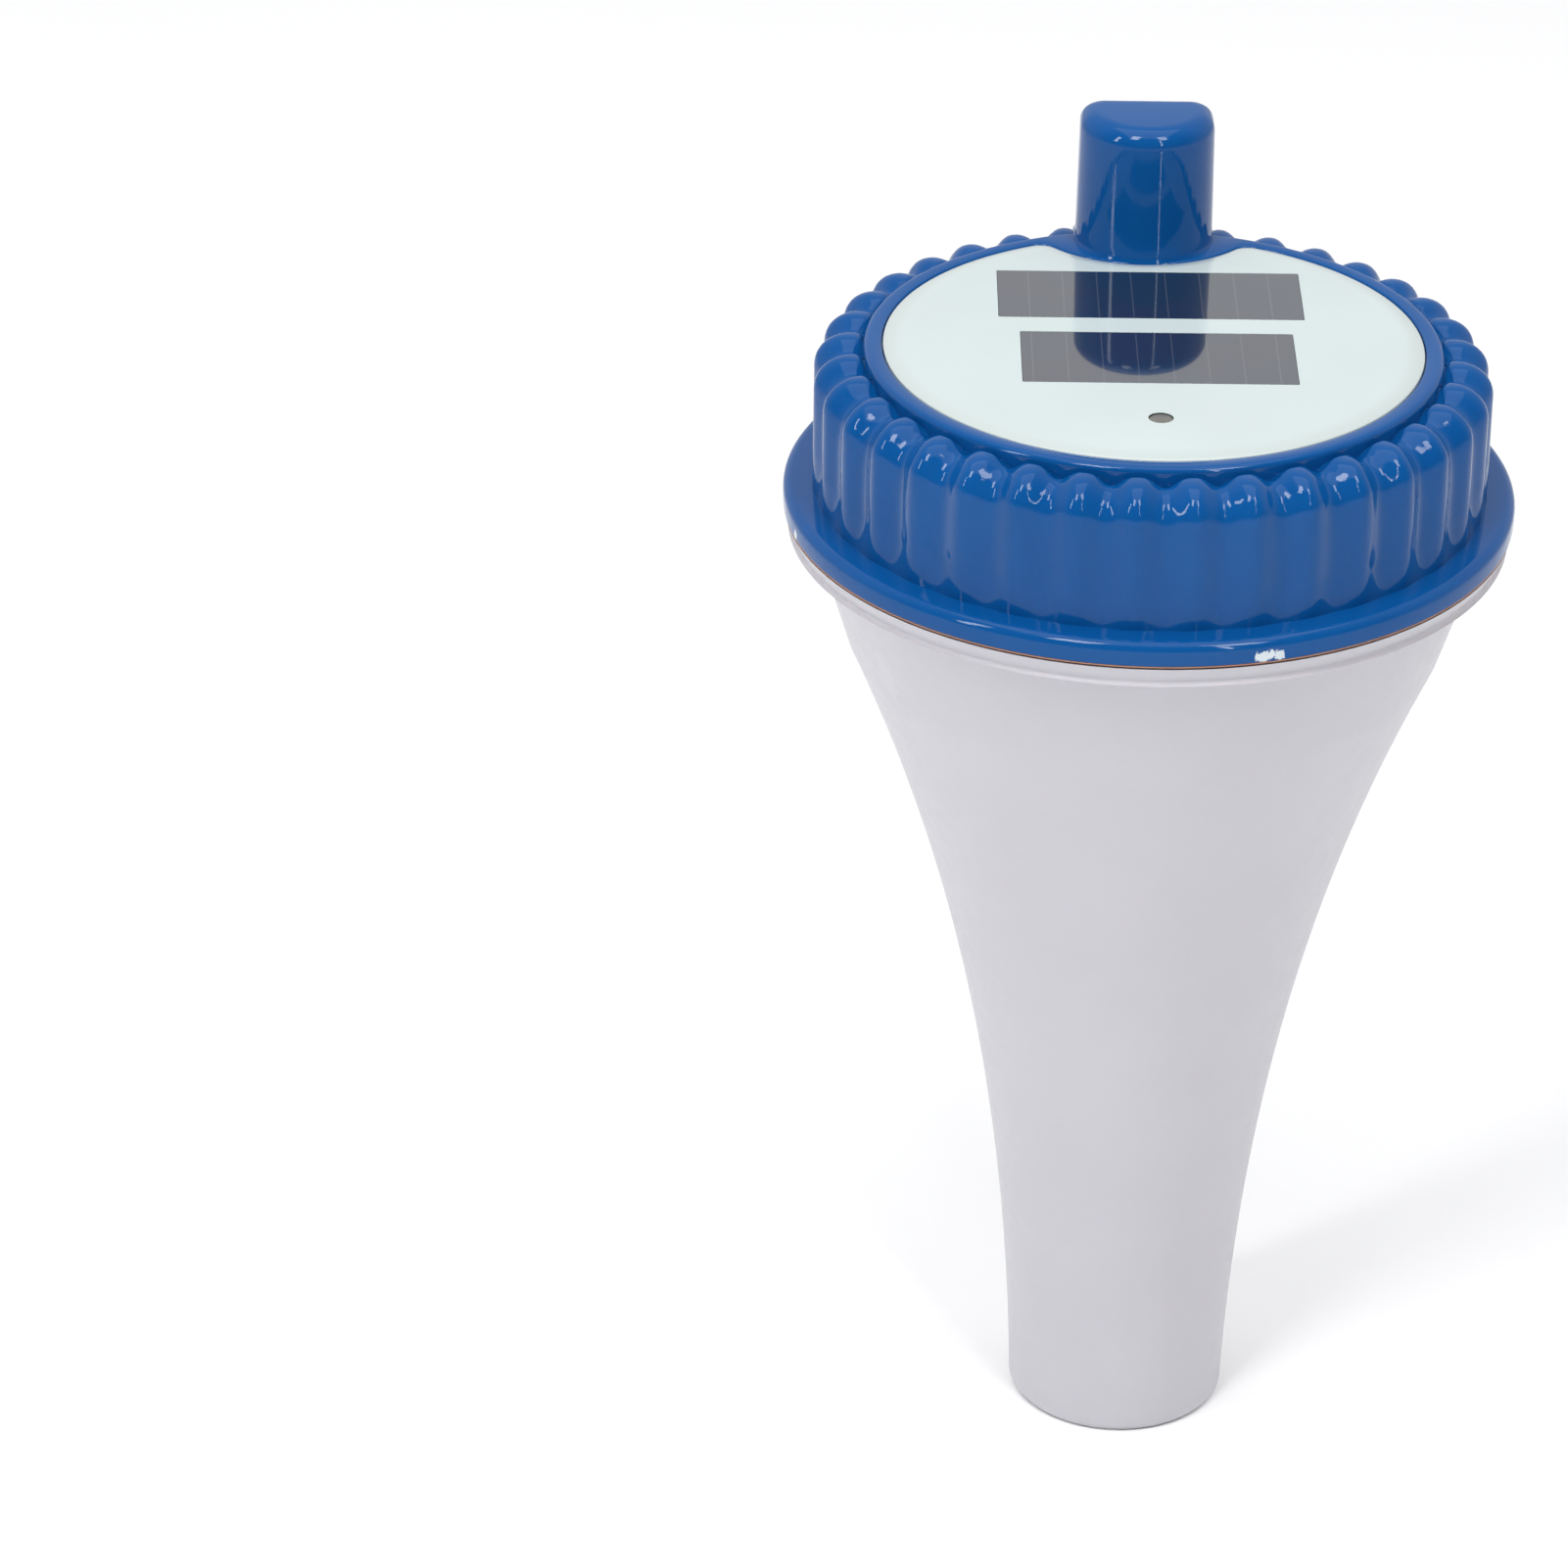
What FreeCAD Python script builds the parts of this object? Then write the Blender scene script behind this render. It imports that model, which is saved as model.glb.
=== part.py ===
import FreeCAD, Part
import math
import os

from FreeCAD import Vector

# Floating pool thermometer: a weighted trumpet-shaped float, a screw cap with the radio and
# the solar cells, and a probe that hangs from the cap down to the tip. Millimetres, +Z up,
# the origin at the middle of the foot, the antenna tab at +Y and the indicator at -Y.

# Shared clearances
FIT = 0.2            # between pieces that are assembled and stay still
RUN = 0.3            # between pieces that move past each other
CONTACT = 0.02       # between flat faces that rest on each other

# Window lens and its notch round the antenna tab
LENS_R = 40.3
LENS_T = 1.2
LENS_EDGE_DROP = 0.8
LENS_EDGE_W = 3.2
NOTCH_R = 18.5
NOTCH_BRIDGE = 29.6  # from the lens centre to the front of the notch
LENS_CORNER_R = 3.0
LEDGE_W = 1.9
LENS_GASKET_T = 0.3
LENS_EDGE_R = 0.3
LENS_CROWN_R = 6.0

# Screw cap
CAP_H = 25.0         # flange underside to rib tops
LENS_PROUD = 1.4     # lens top above the rib tops
LIP_PROUD = 0.8      # ring round the lens, above the rib tops
LIP_W = 2.9
RIB_BAND = 10.4      # lens edge to rib crests
RIB_COUNT = 36
RIB_R = 3.7
RIB_BEND_R = 4.2
RIB_DEPTH = 2.4
SKIRT_WALL = 1.9
SHOULDER_R = 3.6
SHOULDER_DROP = 1.2
FLANGE_W = 4.3
FLANGE_T = 3.6
FLANGE_EDGE_R = 1.5
ROOF_T = 2.4
CAP_SEAT_GAP = 0.2

# Antenna tab on the cap
TAB_TOP_H = 22.0     # above the rib tops
TAB_HALF_W = 10.5
TAB_SET_BACK = 0.4   # tab front behind the notch wall
TAB_SIDE_Y = 39.0
TAB_BACK_Y = 46.0
TAB_CORNER_R = 3.0
TAB_TOP_R = 2.6
TAB_WALL = 2.0

# Thread between the cap and the neck of the float
THREAD_PITCH = 4.0
THREAD_TURNS = 1.5
THREAD_DEPTH = 1.4
THREAD_GAP = 0.5
THREAD_ROOT_W = 1.5
THREAD_CREST_W = 0.8
THREAD_START_H = 4.3
NECK_WALL = 2.3
NECK_H = 14.5

# Float hull
HULL_WALL = 2.4
HULL_FLOOR = 3.0
TIP_R = 17.0
TIP_EDGE_R = 1.5
FLARE_H = 136.0
CONE_H = 17.6
CONE_SPREAD = 5.4
RIM_T = 3.4
RIM_EDGE_R = 1.3
RIM_INSET = 0.2      # rim edge inside the cap flange
# How the flare opens: share of its height, share of its spread
FLARE_SHAPE = ((0.26, 0.083), (0.515, 0.27), (0.77, 0.585))

# Cap gasket
GASKET_W = 2.6
GASKET_T = 1.75
GASKET_INSET = 1.6   # groove wall to the cap's bore

# Solar cells, as half width and front and rear edges
CELL_T = 1.9
CELL_SINK = 1.5
REAR_CELL = (24.0, 6.9, 25.8)
FRONT_CELL = (21.4, -16.2, 3.4)
CARRIER_T = 2.4
CARRIER_DROP = 0.2   # carrier top below the ledge

# Indicator
LED_Y = -27.1
PIPE_R = 1.5
PIPE_HEAD_R = 2.2
PIPE_HEAD_T = 0.4

# Circuit board and what stands on it
BOARD_T = 1.6
BOARD_GAP = 5.8      # cap roof to board
BOARD_MARGIN = 4.4   # neck bore to board edge
ANTENNA = (12.0, 1.0, 30.6)
ANTENNA_Y = 35.5
SCREW_RING_INSET = 7.6
SCREW_SPREAD = 28.0  # degrees either side of the tab's axis
POST_R = 3.2
SCREW_R = 1.1
SCREW_HEAD_R = 2.3
SCREW_HEAD_T = 1.6
SCREW_BITE = 4.6

# Battery chassis
CHASSIS_T = 2.0
CHASSIS_DROP = 2.0   # board to chassis plate
CHASSIS_MARGIN = 2.6 # neck bore to plate edge
BATTERY_D = 14.5
BATTERY_L = 49.2
BATTERY_NUB_R = 2.7
BATTERY_NUB_L = 1.3
BAY_WALL = 1.5
BAY_GAP = 0.35
BAY_DEPTH = 11.5
CONTACT_T = 0.4
SPRING_ROOM = 5.0
SPRING_TURNS = 2.5
SPRING_R = 3.4
SPRING_WIRE_R = 0.4

# Probe
STEM_R = 4.0
STEM_BORE_R = 2.4
STEM_COLLAR_R = 5.0
STEM_COLLAR_T = 1.5
NUT_AF = 11.0
NUT_T = 1.7
PROBE_GAP = 1.0      # probe tip above the floor of the hull
PROBE_CUP_L = 20.0
PROBE_CUP_WALL = 0.6
BEAD_R = 1.6
BEAD_GAP = 0.1
WIRE_R = 0.45

# Ballast in the tip
BALLAST_H = 38.0
BALLAST_BORE_R = 6.2
RETAINER_T = 4.0

# Channel switch and sync button under the board
SWITCH_X = 7.0
SWITCH_Y = -29.0
SWITCH_BODY = (9.0, 4.6, 3.4)
SLIDER_KNOB = (1.8, 2.2, 3.6)
SLIDER_TRAVEL = 2.0
BUTTON_BODY = (6.2, 6.2, 3.0)
BUTTON_R = 1.7
BUTTON_L = 3.6
BUTTON_TRAVEL = 0.5

# Places that follow from the sizes
CAP_R = LENS_R + RIB_BAND
SKIRT_R = CAP_R - RIB_DEPTH
FLANGE_R = CAP_R + FLANGE_W
CAP_BORE_R = SKIRT_R - SKIRT_WALL
NECK_R = CAP_BORE_R - THREAD_GAP - THREAD_DEPTH
NECK_BORE_R = NECK_R - NECK_WALL
CONE_TOP_R = CAP_R - 0.1
FLARE_TOP_R = CONE_TOP_R - CONE_SPREAD
RIM_R = FLANGE_R - RIM_INSET
RIM_UNDER_Z = FLARE_H + CONE_H
RIM_TOP_Z = RIM_UNDER_Z + RIM_T
NECK_TOP_Z = RIM_TOP_Z + NECK_H

FLANGE_Z = RIM_TOP_Z + CAP_SEAT_GAP
FLANGE_TOP_Z = FLANGE_Z + FLANGE_T
RIB_TOP_Z = FLANGE_Z + CAP_H
LIP_Z = RIB_TOP_Z + LIP_PROUD
LENS_TOP_Z = RIB_TOP_Z + LENS_PROUD
LENS_Z = LENS_TOP_Z - LENS_T
LEDGE_Z = LENS_Z - LENS_GASKET_T
TAB_TOP_Z = RIB_TOP_Z + TAB_TOP_H
CARRIER_TOP_Z = LEDGE_Z - CARRIER_DROP
CARRIER_Z = CARRIER_TOP_Z - CARRIER_T
ROOF_Z = CARRIER_Z - ROOF_T
NOTCH_Y = NOTCH_BRIDGE + NOTCH_R
TAB_FRONT_Y = NOTCH_BRIDGE + FIT + TAB_SET_BACK

BOARD_TOP_Z = ROOF_Z - BOARD_GAP
BOARD_Z = BOARD_TOP_Z - BOARD_T
BOARD_R = NECK_BORE_R - BOARD_MARGIN
CHASSIS_TOP_Z = BOARD_Z - CHASSIS_DROP
CHASSIS_Z = CHASSIS_TOP_Z - CHASSIS_T
CHASSIS_R = NECK_BORE_R - CHASSIS_MARGIN
SCREW_RING_R = NECK_BORE_R - SCREW_RING_INSET
BATTERY_Z = CHASSIS_Z - BAY_GAP - BATTERY_D / 2
BAY_HALF_X = (BATTERY_L + BATTERY_NUB_L + SPRING_ROOM) / 2 + CONTACT_T
BAY_HALF_Y = BATTERY_D / 2 + BAY_GAP
BATTERY_OFFSET = STEM_COLLAR_R + RUN + BAY_WALL + BAY_HALF_Y
SPRING_X = -BAY_HALF_X + CONTACT_T
PROBE_Z = HULL_FLOOR + PROBE_GAP
CUP_R = STEM_R + 0.05 + PROBE_CUP_WALL


def save(name, shape):
    shape.exportStep(f"parts/{name}.step")


def box(x, y, z):
    """A box between pairs of low and high values."""
    return Part.makeBox(x[1] - x[0], y[1] - y[0], z[1] - z[0], Vector(x[0], y[0], z[0]))


def centred_box(size, x, y, z):
    """A box of the given size, centred on x and y and standing on z."""
    return Part.makeBox(*size, Vector(x - size[0] / 2, y - size[1] / 2, z))


def rod(radius, z0, z1, x=0.0, y=0.0):
    return Part.makeCylinder(radius, z1 - z0, Vector(x, y, z0))


def ring(outer_r, inner_r, z0, z1):
    return rod(outer_r, z0, z1).cut(rod(inner_r, z0, z1))


def around(shape, count, phase=0.0):
    """Copies of a shape spaced evenly round the Z axis."""
    copies = []
    for index in range(count):
        copy = shape.copy()
        copy.rotate(Vector(0, 0, 0), Vector(0, 0, 1), phase + 360.0 * index / count)
        copies.append(copy)
    return copies


def path_edges(points):
    """Edges through (r, z, corner radius) points in the XZ plane, corners rounded by arcs."""
    edges = []
    start = Vector(points[0][0], 0, points[0][1])
    for before, here, after in zip(points, points[1:], points[2:]):
        corner = Vector(here[0], 0, here[1])
        back = (Vector(before[0], 0, before[1]) - corner).normalize()
        ahead = (Vector(after[0], 0, after[1]) - corner).normalize()
        if here[2] > 0:
            half = back.getAngle(ahead) / 2
            reach = here[2] / math.tan(half)
            centre = corner + (back + ahead).normalize() * (here[2] / math.sin(half))
            middle = centre + (corner - centre).normalize() * here[2]
            first = corner + back * reach
            last = corner + ahead * reach
            edges.append(Part.makeLine(start, first))
            edges.append(Part.Arc(first, middle, last).toShape())
            start = last
        else:
            edges.append(Part.makeLine(start, corner))
            start = corner
    edges.append(Part.makeLine(start, Vector(points[-1][0], 0, points[-1][1])))
    return edges


def turned(edges):
    """The solid swept by a closed outline turned about the Z axis."""
    face = Part.Face(Part.Wire(edges))
    return face.revolve(Vector(0, 0, 0), Vector(0, 0, 1), 360)


def turned_outline(points):
    return turned(path_edges(points + [points[0]]))


def flare_r(share):
    return TIP_R + share * (FLARE_TOP_R - TIP_R)


def flare_curve(first, inset):
    """The trumpet curve from a first (r, z) point up to the top of the flare."""
    points = [Vector(first[0], 0, first[1])]
    points += [Vector(flare_r(r_share) - inset, 0, z_share * FLARE_H) for z_share, r_share in FLARE_SHAPE]
    points.append(Vector(FLARE_TOP_R - inset, 0, FLARE_H))
    curve = Part.BSplineCurve()
    curve.interpolate(points)
    return curve


def thread_ridge(root_r, crest_r, z):
    """A right-handed trapezoid ridge from root to crest radius, starting at height z."""
    height = THREAD_PITCH * THREAD_TURNS
    helix = Part.makeHelix(THREAD_PITCH, height, root_r)
    corners = [
        Vector(root_r, 0, -THREAD_ROOT_W / 2),
        Vector(crest_r, 0, -THREAD_CREST_W / 2),
        Vector(crest_r, 0, THREAD_CREST_W / 2),
        Vector(root_r, 0, THREAD_ROOT_W / 2),
    ]
    section = Part.makePolygon(corners + corners[:1])
    ridge = Part.Wire(helix.Edges).makePipeShell([section], True, True)
    ridge.translate(Vector(0, 0, z))
    return ridge


def float_hull():
    rim = path_edges([
        (FLARE_TOP_R, FLARE_H, 0),
        (CONE_TOP_R, RIM_UNDER_Z, 0.8),
        (RIM_R, RIM_UNDER_Z, RIM_EDGE_R),
        (RIM_R, RIM_TOP_Z, RIM_EDGE_R),
        (NECK_R, RIM_TOP_Z, 0),
        (NECK_R, NECK_TOP_Z, 0.6),
        (0, NECK_TOP_Z, 0),
        (0, 0, 0),
        (TIP_R, 0, TIP_EDGE_R),
        (TIP_R, TIP_EDGE_R + 1.0, 0),
    ])
    outside = turned(rim + [flare_curve((TIP_R, TIP_EDGE_R + 1.0), 0).toShape()])
    inner_foot = (TIP_R - HULL_WALL, HULL_FLOOR)
    cavity = path_edges([
        (FLARE_TOP_R - HULL_WALL, FLARE_H, 0),
        (CONE_TOP_R - HULL_WALL, RIM_UNDER_Z - HULL_WALL, 1.0),
        (NECK_BORE_R, RIM_UNDER_Z, 1.0),
        (NECK_BORE_R, NECK_TOP_Z, 0),
        (0, NECK_TOP_Z, 0),
        (0, HULL_FLOOR, 0),
        inner_foot + (0,),
    ])
    inside = turned(cavity + [flare_curve(inner_foot, HULL_WALL).toShape()])
    ridge = thread_ridge(NECK_R - 0.4, NECK_R + THREAD_DEPTH, RIM_TOP_Z + THREAD_START_H + THREAD_PITCH / 2)
    return outside.cut(inside).fuse(ridge)


def lens_outline(grow, z0, z1):
    """The lens outline as a solid, with every wall moved out by grow."""
    disc = rod(LENS_R + grow, z0, z1)
    notch = rod(NOTCH_R - grow, z0, z1, 0, NOTCH_Y)
    blank = disc.cut(notch)
    corners = [edge for edge in blank.Edges if is_upright_corner(edge)]
    return blank.makeFillet(LENS_CORNER_R + grow, corners)


def is_upright_corner(edge):
    """Whether an edge is one of the two upright corners beside the notch."""
    ends = [vertex.Point for vertex in edge.Vertexes]
    upright = len(ends) == 2 and abs(ends[0].x - ends[1].x) < 1e-6 and abs(ends[0].y - ends[1].y) < 1e-6
    return upright and ends[0].y > 0 and abs(ends[0].x) > NOTCH_R / 2


def window_lens():
    blank = lens_outline(0, LENS_Z, LENS_TOP_Z)
    dome = turned_outline([
        (0, LENS_Z, 0),
        (LENS_R, LENS_Z, 0),
        (LENS_R, LENS_TOP_Z - LENS_EDGE_DROP, LENS_EDGE_R),
        (LENS_R - LENS_EDGE_W, LENS_TOP_Z, LENS_CROWN_R),
        (0, LENS_TOP_Z, 0),
    ])
    return blank.common(dome)


def rib():
    """One grip rib: a half-round bar out over the shoulder and down the skirt."""
    axis_r = CAP_R - RIB_R
    axis_z = RIB_TOP_Z - RIB_R
    start_r = axis_r - RIB_BEND_R - 0.2
    path = Part.Wire(path_edges([
        (start_r, axis_z, 0),
        (axis_r, axis_z, RIB_BEND_R),
        (axis_r, FLANGE_TOP_Z - 1.0, 0),
    ]))
    section = Part.Wire(Part.makeCircle(RIB_R, Vector(start_r, 0, axis_z), Vector(1, 0, 0)))
    return path.makePipeShell([section], True, False)


def tab_outline(inset, z0, z1):
    """The antenna tab's plan shape, drawn in by inset and raised from z0 to z1."""
    half = TAB_HALF_W - inset
    back = TAB_BACK_Y - inset
    corner = TAB_CORNER_R - inset * 0.5
    front_arc = Part.Arc(
        Vector(-half, TAB_SIDE_Y, z0),
        Vector(0, TAB_FRONT_Y + inset, z0),
        Vector(half, TAB_SIDE_Y, z0),
    ).toShape()
    sides = [
        Part.makeLine(Vector(half, TAB_SIDE_Y, z0), Vector(half, back, z0)),
        Part.makeLine(Vector(half, back, z0), Vector(-half, back, z0)),
        Part.makeLine(Vector(-half, back, z0), Vector(-half, TAB_SIDE_Y, z0)),
    ]
    solid = Part.Face(Part.Wire([front_arc] + sides)).extrude(Vector(0, 0, z1 - z0))
    uprights = [e for e in solid.Edges if is_tab_corner(e, half, back)]
    return solid.makeFillet(corner, uprights)


def is_tab_corner(edge, half, back):
    ends = [vertex.Point for vertex in edge.Vertexes]
    at_corner = all(abs(abs(p.x) - half) < 1e-6 and abs(p.y - back) < 1e-6 for p in ends)
    return len(ends) == 2 and at_corner


def antenna_tab():
    """The solid tab with its rounded top edge."""
    tab = tab_outline(0, CARRIER_Z, TAB_TOP_Z)
    top_edges = [e for e in tab.Edges if all(abs(v.Z - TAB_TOP_Z) < 1e-6 for v in e.Vertexes)]
    return tab.makeFillet(TAB_TOP_R, top_edges)


def screw_places():
    """Centres of the four chassis screws, in pairs either side of the tab's axis."""
    across = SCREW_RING_R * math.sin(math.radians(SCREW_SPREAD))
    along = SCREW_RING_R * math.cos(math.radians(SCREW_SPREAD))
    return [(x, y) for x in (-across, across) for y in (-along, along)]


def solar_lead_places():
    """Two leads down from each solar cell."""
    places = []
    for half_x, front_y, rear_y in (REAR_CELL, FRONT_CELL):
        lead_y = (front_y + rear_y) / 2
        places += [(half_x - 4.0, lead_y), (4.0 - half_x, lead_y)]
    return places


def screw_cap():
    shell = turned_outline([
        (0, FLANGE_Z, 0),
        (FLANGE_R, FLANGE_Z, 0.8),
        (FLANGE_R, FLANGE_TOP_Z, FLANGE_EDGE_R),
        (SKIRT_R, FLANGE_TOP_Z, 1.0),
        (SKIRT_R, RIB_TOP_Z - SHOULDER_DROP, SHOULDER_R),
        (LENS_R + LIP_W, RIB_TOP_Z - SHOULDER_DROP, 0),
        (LENS_R + LIP_W, LIP_Z, 0.9),
        (0, LIP_Z, 0),
    ])
    body = shell.multiFuse(around(rib(), RIB_COUNT, 360.0 / RIB_COUNT / 2) + [antenna_tab()])
    body = body.cut(rod(CAP_BORE_R, FLANGE_Z - 1, ROOF_Z))
    body = body.cut(lens_outline(FIT, LEDGE_Z, LIP_Z + 1))
    body = body.cut(lens_outline(-LEDGE_W, CARRIER_Z, LEDGE_Z))
    body = body.cut(tab_outline(TAB_WALL, ROOF_Z - 1, TAB_TOP_Z - TAB_WALL))
    groove_r = CAP_BORE_R + GASKET_INSET
    groove = ring(groove_r + GASKET_W + 2 * RUN, groove_r, FLANGE_Z - 1, RIM_TOP_Z + GASKET_T + CONTACT * 4)
    body = body.cut(groove)
    posts = [rod(POST_R, BOARD_TOP_Z, ROOF_Z + 0.5, x, y) for x, y in screw_places()]
    body = body.multiFuse(posts)
    holes = [rod(SCREW_R + 0.05, BOARD_TOP_Z - 1, BOARD_TOP_Z + SCREW_BITE + 0.5, x, y) for x, y in screw_places()]
    holes += [rod(2 * WIRE_R, ROOF_Z - 1, CARRIER_Z + 1, x, y) for x, y in solar_lead_places()]
    holes.append(rod(PIPE_R + 0.1, ROOF_Z - 1, CARRIER_Z + 1, 0, LED_Y))
    body = body.cut(Part.makeCompound(holes))
    ridge = thread_ridge(CAP_BORE_R + 0.4, NECK_R + THREAD_GAP, RIM_TOP_Z + THREAD_START_H)
    return body.fuse(ridge)


def cap_gasket():
    inner_r = CAP_BORE_R + GASKET_INSET + RUN
    low = RIM_TOP_Z + CONTACT
    return ring(inner_r + GASKET_W, inner_r, low, RIM_TOP_Z + GASKET_T)


def lens_gasket():
    outer = lens_outline(-FIT, LEDGE_Z, LENS_Z)
    return outer.cut(lens_outline(-LEDGE_W, LEDGE_Z, LENS_Z))


def cell_block(cell, grow, z0, z1):
    half_x, front_y, rear_y = cell
    return box((-half_x - grow, half_x + grow), (front_y - grow, rear_y + grow), (z0, z1))


def cell_carrier():
    plate = lens_outline(-LEDGE_W - FIT, CARRIER_Z, CARRIER_TOP_Z)
    floor_z = CARRIER_TOP_Z - CELL_SINK
    for cell in (REAR_CELL, FRONT_CELL):
        plate = plate.cut(cell_block(cell, FIT, floor_z, CARRIER_TOP_Z + 1))
    holes = [rod(2 * WIRE_R, CARRIER_Z - 1, CARRIER_TOP_Z + 1, x, y) for x, y in solar_lead_places()]
    holes.append(rod(PIPE_R + 0.1, CARRIER_Z - 1, CARRIER_TOP_Z + 1, 0, LED_Y))
    return plate.cut(Part.makeCompound(holes))


def solar_cell(cell):
    floor_z = CARRIER_TOP_Z - CELL_SINK
    return cell_block(cell, 0, floor_z, floor_z + CELL_T)


def solar_leads():
    low = BOARD_TOP_Z
    high = CARRIER_TOP_Z - CELL_SINK
    return Part.makeCompound([rod(WIRE_R, low, high, x, y) for x, y in solar_lead_places()])


def light_pipe():
    head_z = CARRIER_TOP_Z
    stem = rod(PIPE_R, BOARD_TOP_Z + 1.6, head_z, 0, LED_Y)
    head = rod(PIPE_HEAD_R, head_z, head_z + PIPE_HEAD_T, 0, LED_Y)
    return stem.fuse(head)


def indicator_led():
    base = centred_box((3.2, 1.6, 0.8), 0, LED_Y, BOARD_TOP_Z)
    return base.fuse(centred_box((1.8, 1.4, 0.6), 0, LED_Y, BOARD_TOP_Z + 0.8))


def main_board():
    board = rod(BOARD_R, BOARD_Z, BOARD_TOP_Z)
    holes = [rod(SCREW_R + 0.3, BOARD_Z - 1, BOARD_TOP_Z + 1, x, y) for x, y in screw_places()]
    return board.cut(Part.makeCompound(holes))


def radio_shield():
    can = centred_box((16.0, 13.0, 2.8), -10.0, 14.0, BOARD_TOP_Z)
    upright = [e for e in can.Edges if abs(e.Vertexes[0].Z - e.Vertexes[1].Z) > 1]
    can = can.makeFillet(1.0, upright)
    return can.cut(centred_box((15.4, 12.4, 2.5), -10.0, 14.0, BOARD_TOP_Z))


def controller_chip():
    chip = centred_box((10.0, 10.0, 1.2), 10.0, -9.0, BOARD_TOP_Z + 0.3)
    pins = []
    for index in range(8):
        along = 10.0 - 3.85 + 1.1 * index
        pins.append(centred_box((0.4, 12.4, 0.3), along, -9.0, BOARD_TOP_Z))
    return chip.fuse(centred_box((9.0, 9.0, 0.3), 10.0, -9.0, BOARD_TOP_Z)).multiFuse(pins)


def crystal_can():
    can = rod(1.5, 0, 6.0)
    can.rotate(Vector(0, 0, 0), Vector(0, 1, 0), 90)
    can.translate(Vector(-3.0, -2.0, BOARD_TOP_Z + 1.5))
    return can


def board_capacitors():
    places = ((-16.0, -12.0), (-22.5, -10.0))
    return Part.makeCompound([rod(2.6, BOARD_TOP_Z, BOARD_TOP_Z + 5.0, x, y) for x, y in places])


def antenna_board():
    return centred_box(ANTENNA, 0, ANTENNA_Y, BOARD_TOP_Z)


def bay_centres():
    return (BATTERY_OFFSET, -BATTERY_OFFSET)


def battery_chassis():
    plate = rod(CHASSIS_R, CHASSIS_Z, CHASSIS_TOP_Z)
    spacers = [rod(POST_R, CHASSIS_TOP_Z - 0.5, BOARD_Z, x, y) for x, y in screw_places()]
    bay_floor_z = CHASSIS_Z - BAY_DEPTH
    bays = []
    for y in bay_centres():
        out_x = BAY_HALF_X + BAY_WALL
        out_y = BAY_HALF_Y + BAY_WALL
        bays.append(box((-out_x, out_x), (y - out_y, y + out_y), (bay_floor_z, CHASSIS_Z + 0.5)))
    body = plate.multiFuse(spacers + bays)
    cuts = []
    for y in bay_centres():
        room_y = (y - BAY_HALF_Y, y + BAY_HALF_Y)
        cuts.append(box((-BAY_HALF_X, BAY_HALF_X), room_y, (bay_floor_z - 1, CHASSIS_Z)))
    cuts += [rod(SCREW_R + 0.3, CHASSIS_Z - 1, BOARD_Z + 1, x, y) for x, y in screw_places()]
    cuts.append(rod(STEM_R + 0.1, CHASSIS_Z - 1, CHASSIS_TOP_Z + 1))
    cuts += [rod(2 * WIRE_R, CHASSIS_Z - 1, CHASSIS_TOP_Z + 1, x, y) for x, y in battery_lead_places()]
    slot_x = SWITCH_BODY[0] + 2 * FIT
    cuts.append(centred_box((slot_x, SWITCH_BODY[1] + 2 * FIT, 20), SWITCH_X, SWITCH_Y, CHASSIS_Z - 10))
    cuts.append(centred_box((BUTTON_BODY[0] + 2 * FIT, BUTTON_BODY[1] + 2 * FIT, 20), -SWITCH_X, SWITCH_Y, CHASSIS_Z - 10))
    return body.cut(Part.makeCompound(cuts))


def chassis_screws():
    """Four pan-head screws, up through the chassis and the board into the cap posts."""
    screws = []
    for x, y in screw_places():
        head = rod(SCREW_HEAD_R, CHASSIS_Z - SCREW_HEAD_T, CHASSIS_Z, x, y)
        recess = centred_box((2.6, 0.6, 0.8), x, y, CHASSIS_Z - SCREW_HEAD_T)
        cross = centred_box((0.6, 2.6, 0.8), x, y, CHASSIS_Z - SCREW_HEAD_T)
        shank = rod(SCREW_R, CHASSIS_Z, BOARD_TOP_Z + SCREW_BITE, x, y)
        screws.append(head.fuse(shank).cut(recess).cut(cross))
    return Part.makeCompound(screws)


def along_x(shape, x, y, z):
    """A shape built up +Z, laid along +X from the given point."""
    laid = shape.copy()
    laid.rotate(Vector(0, 0, 0), Vector(0, 1, 0), 90)
    laid.translate(Vector(x, y, z))
    return laid


def battery(y):
    can = rod(BATTERY_D / 2, 0, BATTERY_L)
    can = can.makeFillet(0.8, [e for e in can.Edges if isinstance(e.Curve, Part.Circle)])
    nub = rod(BATTERY_NUB_R, BATTERY_L - 0.2, BATTERY_L + BATTERY_NUB_L)
    start_x = SPRING_X + SPRING_ROOM
    return along_x(can.fuse(nub), start_x, y, BATTERY_Z)


def contact_springs():
    """Two coil springs between the end plates and the flat ends of the batteries."""
    springs = []
    length = SPRING_ROOM - 2 * SPRING_WIRE_R - 2 * CONTACT
    for y in bay_centres():
        helix = Part.makeHelix(length / SPRING_TURNS, length, SPRING_R)
        wire = Part.Wire(Part.makeCircle(SPRING_WIRE_R, Vector(SPRING_R, 0, 0), Vector(0, 1, 0)))
        coil = Part.Wire(helix.Edges).makePipeShell([wire], True, True)
        springs.append(along_x(coil, SPRING_X + SPRING_WIRE_R + CONTACT, y, BATTERY_Z))
    return Part.makeCompound(springs)


def contact_plates():
    """The four end plates, each with a tail that runs up to the chassis plate."""
    plates = []
    for y in bay_centres():
        for x in (-BAY_HALF_X, BAY_HALF_X - CONTACT_T):
            plates.append(box((x, x + CONTACT_T), (y - 4.5, y + 4.5), (BATTERY_Z - 4.5, CHASSIS_Z)))
    return Part.makeCompound(plates)


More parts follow.
